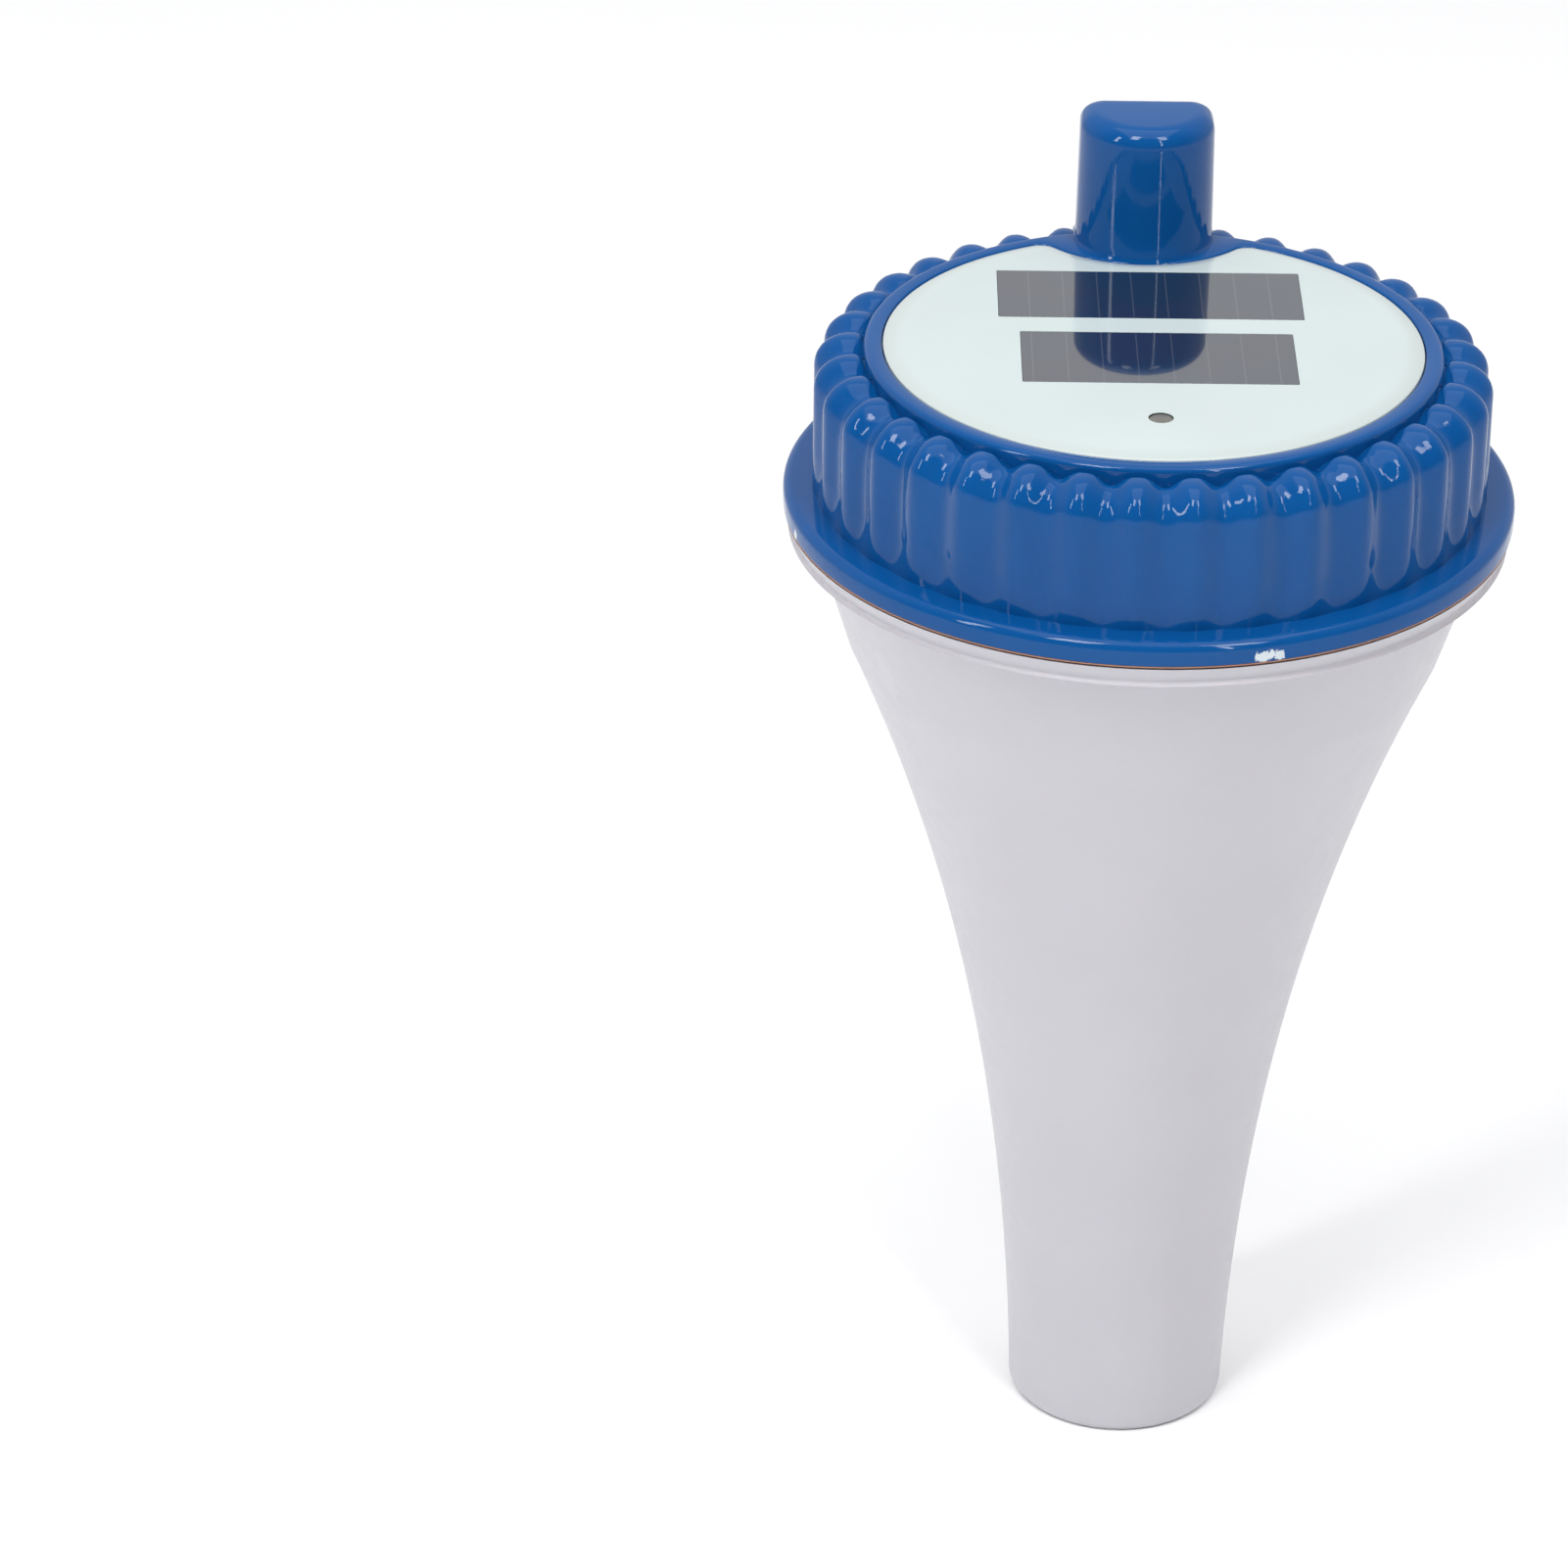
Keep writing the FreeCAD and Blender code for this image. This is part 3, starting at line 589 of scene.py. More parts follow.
@dataclass(frozen=True)
class ClearPlastic:
    """A clear moulded window or light pipe."""

    name: str
    colour: Colour
    roughness: float
    ior: float = 1.49
    transmission: float = 1.0
    grain_scale: float = 300.0
    grain_depth: float = 0.004

    def material(self) -> bpy.types.Material:
        """Builds the material."""
        made, sheet = new_material(self.name)
        surface = sheet.moulded(self.grain_scale, self.grain_depth)
        rough = sheet.ramp(surface.outputs["Haze"], 0.3, 0.7, self.roughness * 0.7, self.roughness * 1.3)
        inputs = {
            "Base Color": rgba(self.colour),
            "Roughness": rough,
            "Normal": surface.outputs["Normal"],
            "IOR": self.ior,
            "Transmission Weight": self.transmission,
        }
        sheet.close_surface(inputs)
        return made


@dataclass(frozen=True)
class PrintedLens:
    """The back-printed face of the lens: cool white under gloss, with painted shade that greys the rim where
    it turns down.
    """

    name: str
    colour: Colour
    mottle_and_rim_shade_colour: Colour
    rim_shade_start: float
    rim_shade_end: float
    roughness: float = 0.16
    coat: float = 0.35
    coat_roughness: float = 0.04
    grain_scale: float = 900.0
    grain_depth: float = 0.015
    scratches: float = 0.25

    def material(self) -> bpy.types.Material:
        """Builds the material."""
        made, sheet = new_material(self.name)
        surface = sheet.moulded(self.grain_scale, self.grain_depth)
        scratch = sheet.scratched(self.scratches)
        where = sheet.object_place()
        flat = sheet.vector_math("MULTIPLY", where, (1.0, 1.0, 0.0)).outputs[0]
        radius = sheet.vector_math("LENGTH", flat).outputs["Value"]
        # Painted shade: the colour greys across the turned-down rim, standing in for the shade on its bevel.
        rim = sheet.ramp(radius, self.rim_shade_start * MM, self.rim_shade_end * MM)
        # The mottle also drifts at random towards the same grey, as tone of the print itself.
        tone = sheet.ramp(surface.outputs["Mottle"], 0.3, 0.7, 0.0, 0.5)
        body = sheet.mix(tone, rgba(self.colour), rgba(self.mottle_and_rim_shade_colour))
        colour = sheet.mix(rim, body, rgba(self.mottle_and_rim_shade_colour))
        rough = sheet.math("MULTIPLY_ADD", scratch, 0.2, self.roughness)
        inputs = {
            "Base Color": colour,
            "Roughness": rough,
            "Normal": surface.outputs["Normal"],
            "Coat Weight": self.coat,
            "Coat Roughness": self.coat_roughness,
        }
        sheet.close_surface(inputs)
        return made


@dataclass(frozen=True)
class SolarLaminate:
    """A solar cell under resin: near-black strips with fine lines between them."""

    name: str
    colour: Colour
    sheen_colour: Colour
    line_colour: Colour = (0.10, 0.10, 0.11)
    glint: Colour = (0.55, 0.75, 1.0)
    roughness: float = 0.06
    coat_ior: float = 1.8
    strip: float = 5.2
    line: float = 0.12

    def material(self) -> bpy.types.Material:
        """Builds the material."""
        made, sheet = new_material(self.name)
        where = sheet.object_place()
        across = sheet.add("ShaderNodeSeparateXYZ", {0: where}).outputs[0]
        shift = sheet.math("ADD", sheet.math("DIVIDE", across, self.strip * MM), 50.5)
        from_middle = sheet.math("ABSOLUTE", sheet.math("SUBTRACT", sheet.math("FRACT", shift), 0.5))
        edge = 0.5 - self.line / self.strip
        line = sheet.ramp(from_middle, edge, edge + 0.012)
        film = sheet.ramp(sheet.noise(where, 45.0, 3.0, 0.6), 0.35, 0.7)
        body = sheet.mix(film, rgba(self.colour), rgba(self.sheen_colour))
        colour = sheet.mix(sheet.math("MULTIPLY", line, 0.5), body, rgba(self.line_colour))
        bump = sheet.add("ShaderNodeBump", {"Strength": 0.02, "Distance": 0.0001, "Height": film})
        inputs = {
            "Base Color": colour,
            "Roughness": self.roughness,
            "Normal": bump.outputs[0],
            "Coat Weight": 1.0,
            "Coat IOR": self.coat_ior,
            "Coat Roughness": 0.02,
            "Specular Tint": rgba(self.glint),
        }
        sheet.close_surface(inputs)
        return made


@dataclass(frozen=True)
class CircuitBoard:
    """Solder-masked board with copper runs showing through as lighter tracks."""

    name: str
    mask_colour: Colour
    track_colour: Colour
    pad_colour: Colour = (0.55, 0.55, 0.5)
    roughness: float = 0.32

    def material(self) -> bpy.types.Material:
        """Builds the material."""
        made, sheet = new_material(self.name)
        where = sheet.object_place()
        bricks = {
            "Vector": where,
            "Scale": 180.0,
            "Mortar Size": 0.06,
            "Mortar Smooth": 0.1,
            "Brick Width": 1.6,
            "Row Height": 0.45,
        }
        tracks = sheet.add("ShaderNodeTexBrick", bricks).outputs["Fac"]
        cells = {"Vector": where, "Scale": 230.0}
        vias = sheet.add("ShaderNodeTexVoronoi", cells).outputs["Distance"]
        dots = sheet.ramp(vias, 0.1, 0.16, 1.0, 0.0)
        board = sheet.mix(tracks, rgba(self.mask_colour), rgba(self.track_colour))
        colour = sheet.mix(dots, board, rgba(self.pad_colour))
        raised = sheet.math("ADD", tracks, dots)
        bump = sheet.add("ShaderNodeBump", {"Strength": 0.3, "Distance": 0.0001, "Height": raised})
        inputs = {
            "Base Color": colour,
            "Roughness": self.roughness,
            "Normal": bump.outputs[0],
            "Coat Weight": 0.3,
        }
        sheet.close_surface(inputs)
        return made


@dataclass(frozen=True)
class BatteryJacket:
    """A plain battery jacket: a coloured sleeve, a lighter band by the nub and bare metal ends."""

    name: str
    sleeve: Colour
    band: Colour
    low_x: float
    high_x: float
    end_colour: Colour = (0.62, 0.62, 0.6)
    roughness: float = 0.28

    def material(self) -> bpy.types.Material:
        """Builds the material."""
        made, sheet = new_material(self.name)
        where = sheet.object_place()
        along = sheet.add("ShaderNodeSeparateXYZ", {0: where}).outputs[0]
        share_inputs = {"Value": along, "From Min": self.low_x * MM, "From Max": self.high_x * MM}
        share = sheet.add("ShaderNodeMapRange", share_inputs).outputs[0]
        banded = sheet.mix(sheet.ramp(share, 0.74, 0.745), rgba(self.sleeve), rgba(self.band))
        nub_end, flat_end = sheet.ramp(share, 0.955, 0.96), sheet.ramp(share, 0.012, 0.016, 1.0, 0.0)
        ends = sheet.math("MAXIMUM", nub_end, flat_end)
        colour = sheet.mix(ends, banded, rgba(self.end_colour))
        wrap = sheet.noise(where, 240.0, 2.0)
        bump = sheet.add("ShaderNodeBump", {"Strength": 0.08, "Distance": 0.0001, "Height": wrap})
        inputs = {
            "Base Color": colour,
            "Roughness": self.roughness,
            "Metallic": ends,
            "Normal": bump.outputs[0],
        }
        sheet.close_surface(inputs)
        return made


# -------------------- Pieces --------------------


@dataclass
class FloatHull:
    """The white float: a trumpet-shaped body, a rounded rim and a threaded neck."""

    rim_r: float
    neck_top: float
    tip_r: float = 17.0
    tip_edge_r: float = 1.5
    wall: float = 2.4
    floor: float = 3.0
    flare_h: float = 136.0
    flare_spread: float = 28.2
    flare_shape: tuple[float, float, float] = (0.1441, 0.6119, 0.2440)
    cone_top_r: float = 50.6
    rim_t: float = 3.4
    rim_edge_r: float = 0.6
    rim_top_edge_r: float = 0.3
    neck_h: float = 14.5
    neck_r: float = 44.5
    neck_bore_r: float = 42.2
    thread_depth: float = 1.4
    thread_root: float = 0.4
    thread_pitch: float = 4.0
    thread_turns: float = 1.5
    thread_start: float = 6.3
    turn_steps: int = 192
    height_steps: int = 54

    def outer_r(self, z: float) -> float:
        """Gives the radius of the trumpet at height z, which is in the flare."""
        share = z / self.flare_h
        opened = sum(factor * share ** (power + 1) for power, factor in enumerate(self.flare_shape))
        return self.tip_r + self.flare_spread * opened

    def profile(self) -> Profile:
        """Outlines the half section, from the middle of the foot round to the inner floor.

        Returns:
            Points of the outline.
        """
        rim_top = self.neck_top - self.neck_h
        rim_under = rim_top - self.rim_t
        low = 5.0
        heights = [low + (self.flare_h - low) * i / self.height_steps for i in range(self.height_steps + 1)]
        outside = [(0, 0, 0), (self.tip_r, 0, self.tip_edge_r)]
        outside += [(self.outer_r(z), z, 0) for z in heights]
        neck = [
            (self.cone_top_r, rim_under, 0.8),
            (self.rim_r, rim_under, self.rim_edge_r),
            (self.rim_r, rim_top, self.rim_top_edge_r),
            (self.neck_r, rim_top, 0.4),
            (self.neck_r, self.neck_top, 0.6),
            (self.neck_bore_r, self.neck_top, 0.4),
            (self.neck_bore_r, rim_under, 1.0),
            (self.cone_top_r - self.wall, rim_under - self.wall, 1.0),
        ]
        inside = [(self.outer_r(z) - self.wall, z, 0) for z in reversed(heights[::3])]
        foot = [(self.tip_r - self.wall, self.floor, 0.5), (0, self.floor, 0)]
        return rounded_path(outside + neck + inside + foot)

    def build(self, finish: bpy.types.Material) -> None:
        """Models the hull with its thread and hands it over."""
        rim_top = self.neck_top - self.neck_h
        hull = turned_piece("float_shell", self.profile(), self.turn_steps)
        radii = (self.neck_r - self.thread_root, self.neck_r + self.thread_depth)
        start = rim_top + self.thread_start
        ridge = thread_ridge("hull_thread", *radii, start, self.thread_pitch, self.thread_turns)
        joined([hull, ridge])
        hand_over(hull, finish, Body.FLOAT, ["float_hull"], crisp=25.0)


@dataclass
class SealRing:
    """The cap gasket: a flat ring with a thin lip that shows as a line between the float and the cap."""

    node: str
    lip_r: float
    lip_t: float = 0.16

    def build(self, finish: bpy.types.Material) -> None:
        """Turns the ring and hands it over."""
        low, high = node_box(self.node)
        outer_r, inner_r = high.x, high.x - 2.6
        lip_low, lip_high = low.z, low.z + self.lip_t
        path = [(inner_r, low.z, 0), (self.lip_r, lip_low, 0)]
        path += [(self.lip_r, lip_high, 0), (outer_r, lip_high, 0), (outer_r, high.z, 0.3)]
        path += [(inner_r, high.z, 0.3), (inner_r, low.z, 0)]
        ring = turned_piece("seal_ring", rounded_path(path), 144)
        hand_over(ring, finish, Body.SEAL, [self.node])


@dataclass
class NotchedOutline:
    """The lens outline: a disc with a round notch at the rear and two rounded corners beside it."""

    radius: float
    notch_bridge: float = 29.6
    notch_r: float = 18.5
    corner_r: float = 3.0
    least_corner_r: float = 0.5
    arc_steps: int = 102
    corner_steps: int = 10
    notch_steps: int = 44

    def loop(self, grow: float, z: float) -> Loop:
        """Gives the outline moved out by grow, starting at the front.

        Args:
            grow: How far every wall moves out, in millimetres.
            z: Height of the loop.

        Returns:
            The closed loop's points, anticlockwise.
        """
        notch_y = self.notch_bridge + self.notch_r
        disc_r, notch_r = self.radius + grow, self.notch_r - grow
        corner_r = max(self.corner_r + grow, self.least_corner_r)
        to_disc, to_notch = disc_r - corner_r, notch_r + corner_r
        y = (to_disc**2 - to_notch**2 + notch_y**2) / (2 * notch_y)
        x = math.sqrt(to_disc**2 - y**2)
        leave = math.degrees(math.atan2(y, x))
        meet = math.degrees(math.atan2(notch_y - y, -x))
        right = self.arc(0, 0, disc_r, -90, leave, self.arc_steps)[:-1]
        right += self.arc(x, y, corner_r, leave, meet, self.corner_steps)[:-1]
        notch = self.arc(0, notch_y, notch_r, meet + 180, 360 - meet, self.notch_steps)
        left = [(-px, py) for px, py in reversed(right[1:])]
        return [(px, py, z) for px, py in right + notch + left]

    @staticmethod
    def arc(x: float, y: float, radius: float, first: float, last: float, steps: int) -> Profile:
        """Samples an arc between two directions in degrees."""
        turns = [math.radians(first + (last - first) * i / steps) for i in range(steps + 1)]
        return [(x + radius * math.cos(a), y + radius * math.sin(a)) for a in turns]

    def round_loop(self, radius: float, z: float) -> Loop:
        """Gives a round loop whose points lie outwards of the outline's own points."""
        turns = [math.atan2(y, x) for x, y, _ in self.loop(0, z)]
        steady = []
        for turn in turns:
            while steady and turn < steady[-1] - math.pi:
                turn += math.tau
            steady.append(max(turn, steady[-1] + 0.0005) if steady else turn)
        return [(radius * math.cos(a), radius * math.sin(a), z) for a in steady]


@dataclass
class ScrewCap:
    """The blue screw cap: a ribbed shell on a round flange, a ring round the lens and the antenna tab."""

    flange_r: float
    low: float
    tab_top: float
    outline: NotchedOutline
    ring_top: float
    height: float = 25.0
    crest_r: float = 50.7
    shoulder_r: float = 5.0
    knob_r: float = 1.5
    valley_r: float = 43.0
    valley_drop: float = 0.9
    rib_count: int = 36
    groove_depth: float = 1.9
    side_share: float = 0.62
    side_power: float = 1.0
    top_power: float = 1.6
    top_share: float = 0.8
    steps_per_rib: int = 16
    side_step: float = 1.4
    side_steps: int = 9
    rib_sink: float = 1.2
    rib_inside_top: float = 178.4
    bore_wall: float = 0.6
    blend_start_r: float = 44.6
    blend_w: float = 4.6
    fade_drop: float = 1.5
    fade_h: float = 7.0
    flange_t: float = 3.6
    flange_edge_r: float = 1.5
    flange_foot_r: float = 0.3
    turn_steps: int = 216
    bore_r: float = 46.4
    roof_low: float = 177.1
    roof_high: float = 179.5
    gasket_groove: tuple[float, float, float] = (48.0, 51.2, 158.83)
    lip_r: float = 43.2
    lip_edge_r: float = 0.9
    ring_sink: float = 0.3
    ledge: float = 182.1
    ledge_w: float = 1.9
    lens_gap: float = 0.2
    neck_clear_r: float = 45.0
    thread_start: float = 161.3
    thread_root: float = 0.4
    thread_pitch: float = 4.0
    thread_turns: float = 1.5
    tab_half_w: float = 10.5
    tab_front: float = 30.05
    tab_side: float = 39.0
    tab_back: float = 46.0
    tab_corner_r: float = 3.0
    tab_top_r: float = 3.0
    tab_foot: float = 180.4
    tab_draft: float = 0.25

    def build(self, finish: bpy.types.Material) -> None:
        """Models the cap's pieces and hands them over."""
        shell = joined([self.base(), self.ribbed_shell(), self.thread()])
        hand_over(shell, finish, Body.CAP, ["screw_cap"])
        for piece in (self.lens_ring(), self.tab()):
            hand_over(piece, finish, Body.CAP)

    def base(self) -> bpy.types.Object:
        """Turns the flange, the bore and the roof."""
        groove_in, groove_out, groove_top = self.gasket_groove
        flange_top, wall_r = self.low + self.flange_t, self.bore_r + 2 * self.bore_wall
        path = [
            (0, self.roof_high, 0),
            (wall_r, self.roof_high, 0.5),
            (wall_r, flange_top, 0),
            (self.flange_r, flange_top, self.flange_edge_r),
            (self.flange_r, self.low, self.flange_foot_r),
            (groove_out, self.low, 0),
            (groove_out, groove_top, 0),
            (groove_in, groove_top, 0),
            (groove_in, self.low, 0),
            (self.bore_r, self.low, 0.4),
            (self.bore_r, self.roof_low, 0.5),
            (0, self.roof_low, 0),
        ]
        return turned_piece("cap_shell", rounded_path(path, 10.0), self.turn_steps)

    def ribbed_shell(self) -> bpy.types.Object:
        """Turns the outer wall and sinks a smooth groove between each two ribs."""
        top = self.low + self.height
        foot = self.low + self.flange_t - self.rib_sink
        side_top = top - self.shoulder_r - 0.4
        side_z = [side_top - i * self.side_step for i in range(self.side_steps)]
        trough = top - self.valley_drop
        path = [(self.valley_r, trough, 0), (self.valley_r + 0.4, trough, 0.3)]
        path += [(self.valley_r + 0.9, top, self.knob_r)]
        path += [(self.crest_r, top, self.shoulder_r)]
        path += [(self.crest_r, z, 0) for z in side_z if z > foot + 0.5]
        wall_r, inside_top = self.bore_r + self.bore_wall, self.rib_inside_top
        path += [(self.crest_r, foot, 0), (wall_r, foot, 0), (wall_r, inside_top, 0)]
        path += [(self.valley_r, inside_top, 0)]
        outline = rounded_path(path, 8.0)
        shell = turned_piece("cap_ribs", outline + outline[:1], self.rib_count * self.steps_per_rib)
        weights = shell.vertex_groups.new(name="groove")
        for vertex in shell.data.vertices:
            share = self.groove_share(vertex.co / MM)
            if share > 0:
                weights.add([vertex.index], share, "REPLACE")
        depth = -self.groove_depth * MM
        modify(shell, "DISPLACE", vertex_group="groove", strength=depth, mid_level=0.0, direction="NORMAL")
        return shell

    def groove_share(self, place: Vector) -> float:
        """Says how much of the groove's depth a point of the outer wall gets.

        Args:
            place: The point, in millimetres.

        Returns:
            A share from 0, on a rib's crest or inside the wall, to 1 at the bottom of a groove.
        """
        radius = math.hypot(place.x, place.y)
        inside = radius < self.bore_r + self.bore_wall + 0.1 and place.z < self.rib_inside_top + 0.1
        if inside or place.z < self.low + self.flange_t - self.rib_sink + 0.1:
            return 0.0
        turn = math.atan2(place.y, place.x)
        wave = (1 + math.cos(self.rib_count * turn)) / 2
        outward = eased((radius - self.blend_start_r) / self.blend_w)
        band = self.top_share + (1 - self.top_share) * outward
        down = eased((self.low + self.height - self.fade_drop - place.z) / self.fade_h)
        band *= 1 - (1 - self.side_share) * down
        return band * wave ** (self.top_power + (self.side_power - self.top_power) * outward)

    def thread(self) -> bpy.types.Object:
        """Makes the thread ridge inside the bore."""
        radii = (self.bore_r + self.thread_root, self.neck_clear_r)
        return thread_ridge("cap_thread", *radii, self.thread_start, self.thread_pitch, self.thread_turns)

    def lens_ring(self) -> bpy.types.Object:
        """Bridges the ring round the lens, with its ledge and its rounded outer edge."""
        gap, top, edge = self.lens_gap, self.ring_top, self.lip_edge_r
        outline = self.outline
        loops = [
            outline.loop(-self.ledge_w, self.roof_high - self.ring_sink),
            outline.loop(-self.ledge_w, self.ledge),
            outline.loop(gap, self.ledge),
            outline.loop(gap, top - 0.25),
            outline.loop(gap + 0.08, top - 0.08),
            outline.loop(gap + 0.25, top),
        ]
        for step in range(7):
            turn = math.radians(90 * step / 6)
            radius = self.lip_r - edge + edge * math.sin(turn)
            loops.append(outline.round_loop(radius, top - edge + edge * math.cos(turn)))
        loops.append(outline.round_loop(self.lip_r, self.roof_high - self.ring_sink))
        loops.append(loops[0])
        return bridged_piece("lens_ring", loops)

    def tab_loop(self, inset: float, z: float) -> Loop:
        """Gives the tab's outline drawn in by inset: a bowed front and a square back with round corners."""
        half, back = self.tab_half_w - inset, self.tab_back - inset
        front = self.tab_front + inset
        corner = max(self.tab_corner_r - inset * 0.5, 0.6)
        bow = self.tab_side - front
        radius = (half * half + bow * bow) / (2 * bow)
        centre_y = front + radius
        reach = math.degrees(math.asin(min(half / radius, 1.0)))
        points = NotchedOutline.arc(0, centre_y, radius, -90, -90 + reach, 20)
        points += NotchedOutline.arc(half - corner, back - corner, corner, 0, 90, 8)
        mirrored = [(-x, y) for x, y in reversed(points[1:])]
        return [(x, y, z) for x, y in points + mirrored]

    def tab(self) -> bpy.types.Object:
        """Lofts the antenna tab, which tapers a little and has a rounded top."""
        straight_top = self.tab_top - self.tab_top_r
        loops = [self.tab_loop(-0.3, self.tab_foot), self.tab_loop(-0.3, self.ring_top)]
        loops += [self.tab_loop(-0.1, self.ring_top + 0.25), self.tab_loop(0.0, self.ring_top + 0.7)]
        for step in range(1, 7):
            share = step / 6
            z = self.ring_top + 0.7 + (straight_top - self.ring_top - 0.7) * share
            loops.append(self.tab_loop(self.tab_draft * share, z))
        for step in range(1, 11):
            turn = math.radians(90 * step / 10)
            inset = self.tab_draft + self.tab_top_r * (1 - math.cos(turn))
            loops.append(self.tab_loop(inset, straight_top + self.tab_top_r * math.sin(turn)))
        return bridged_piece("antenna_tab", loops, ends=(0, len(loops) - 1))


@dataclass(frozen=True)
class Window:
    """A clear window in the lens print, over one solar cell."""

    half_x: float
    front_y: float
    rear_y: float
    middle_x: float = 0.0
    corner_r: float = 0.25

    def loop(self, grow: float, z: float) -> Loop:
        """Gives the window's outline moved out by grow."""
        corner = self.corner_r + max(grow, 0.0)
        x, low, high = self.half_x + grow, self.front_y - grow, self.rear_y + grow
        centres = ((x, low, -90), (x, high, 0), (-x, high, 90), (-x, low, 180))
        points = []
        for corner_x, corner_y, first in centres:
            inner_x = corner_x - math.copysign(corner, corner_x)
            inner_y = corner_y + (corner if corner_y == low else -corner)
            points += NotchedOutline.arc(inner_x, inner_y, corner, first, first + 90, 5)
        return [(self.middle_x + px, py, z) for px, py in points]


@dataclass
class LensPlate:
    """The lens: a white printed plate with a turned-down rim, two clear windows and a hole for the light."""

    top: float
    low: float
    outline: NotchedOutline
    windows: tuple[Window, ...]
    light: tuple[float, float, float]
    light_hole_r: float = 1.85
    print_t: float = 0.15
    rim_w: float = 3.0
    rim_drop: float = 0.62
    rim_edge_r: float = 0.25
    rim_steps: int = 7

    def build(self, printed: bpy.types.Material) -> None:
        """Models the plate and hands it over."""
        hand_over(self.plate(), printed, Body.CAP, ["window_lens"], crisp=30.0)

    def plate(self) -> bpy.types.Object:
        """Lofts the rim, fills the top round the holes and thickens the sheet."""
        outline, top = self.outline, self.top
        edge = top - self.rim_drop
        rim = [outline.loop(0, self.low), outline.loop(0, edge - self.rim_edge_r)]
        rim += [outline.loop(-0.07, edge - 0.08), outline.loop(-self.rim_edge_r, edge + 0.02)]
        for step in range(1, self.rim_steps + 1):
            share = step / self.rim_steps
            fall = (1 - share) ** 1.6
            inset = self.rim_edge_r + (self.rim_w - self.rim_edge_r) * share
            rim.append(outline.loop(-inset, top - (self.rim_drop - 0.02) * fall))
        plate = bridged_piece("lens_print", rim)
        x, y, _ = self.light
        holes = [window.loop(0, top) for window in self.windows]
        holes.append(disc_loop(self.light_hole_r, top, 40, x, y))
        face = wire_piece("lens_face", [rim[-1], *holes], closed=True)
        with Editing(face):
            bpy.ops.mesh.fill(use_beauty=True)
        joined([plate, face])
        with Editing(plate) as edit:
            edit.weld()
        modify(plate, "SOLIDIFY", thickness=self.print_t * MM, offset=-1.0, use_even_offset=True)
        return plate


@dataclass
class SolarCell:
    """A solar cell: a block under its window, with a clear-coated face that fills the window."""

    name: str
    node: str
    window: Window
    face_z: float
    edge_r: float = 0.15
    gap: float = 0.03

    def build(self, finish: bpy.types.Material) -> None:
        """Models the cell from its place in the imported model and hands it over."""
        low, high = node_box(self.node)
        middle_x = (low.x + high.x) / 2
        block = Window(high.x - middle_x, low.y, high.y, middle_x)
        face, edge = self.window, self.edge_r
        loops = [
            block.loop(-edge, low.z),
            block.loop(0, low.z + edge),
            block.loop(0, high.z - edge),
            block.loop(-edge, high.z),
            face.loop(-self.gap, high.z),
            face.loop(-self.gap, self.face_z - 0.06),
            face.loop(-self.gap - 0.06, self.face_z),
        ]
        cell = bridged_piece(self.name, loops, ends=(0, len(loops) - 1))
        hand_over(cell, finish, Body.CAP, [self.node], crisp=30.0)


@dataclass
class LightPipe:
    """The indicator's light pipe: a clear rod whose domed head fills the hole in the lens print."""

    node: str
    lens_top: float
    head_r: float = 1.82
    sink: float = 0.12

    def build(self, finish: bpy.types.Material) -> None:
        """Turns the pipe and hands it over."""
        low, high = node_box(self.node)
        y = (low.y + high.y) / 2
        top = self.lens_top - self.sink
        path = [(0, low.z, 0), (1.5, low.z, 0.2), (1.5, high.z - 0.4, 0.1), (self.head_r, high.z - 0.4, 0.1)]
        path += [(self.head_r, top - 0.12, 0.15), (0.9, top - 0.02, 0), (0, top, 0)]
        pipe = turned_piece("light_pipe_rod", rounded_path(path), 48)
        take_up(pipe)
        pipe.location.y = y * MM
        bpy.ops.object.transform_apply(location=True, rotation=False, scale=False)
        hand_over(pipe, finish, Body.CAP, [self.node])


# -------------------- Finishes of this object --------------------

CAP_SCUFFS = (
    Scuff((14.4, -53.1, 158.0), 1.2, 1.3),
    Scuff((15.6, -52.8, 158.3), 1.2, 1.6),
    Scuff((16.8, -52.4, 158.1), 1.1, 1.4),
    Scuff((-52.9, -15.0, 158.0), 0.7, 1.0),
)

HULL_MARKS = (
    Scuff((-39.4, -24.6, 140.0), 2.2, 0.4),
    Scuff((-41.6, -25.8, 147.0), 1.2, 0.6),
)


def cap_blue() -> MouldedPlastic:
    """Gives the finish of the blue cap."""
    return MouldedPlastic(
        name="cap_blue",
        colour=(0.002, 0.068, 0.245),
        tint=(0.003, 0.074, 0.262),
        roughness=0.075,
        haze_spread=0.02,
        specular=0.22,
        grain_scale=260.0,
        grain_depth=0.012,
        scratches=0.15,
        scuffs=CAP_SCUFFS,
    )


def hull_white() -> MouldedPlastic:
    """Gives the finish of the white float."""
    return MouldedPlastic(
        name="hull_white",
        colour=(0.52, 0.512, 0.55),
        tint=(0.54, 0.532, 0.57),
        roughness=0.38,
        specular=0.45,
        grain_depth=0.03,
        scratches=0.15,
        subsurface=0.05,
        scuff_colour=(0.6, 0.59, 0.63),
        scuffs=HULL_MARKS,
    )


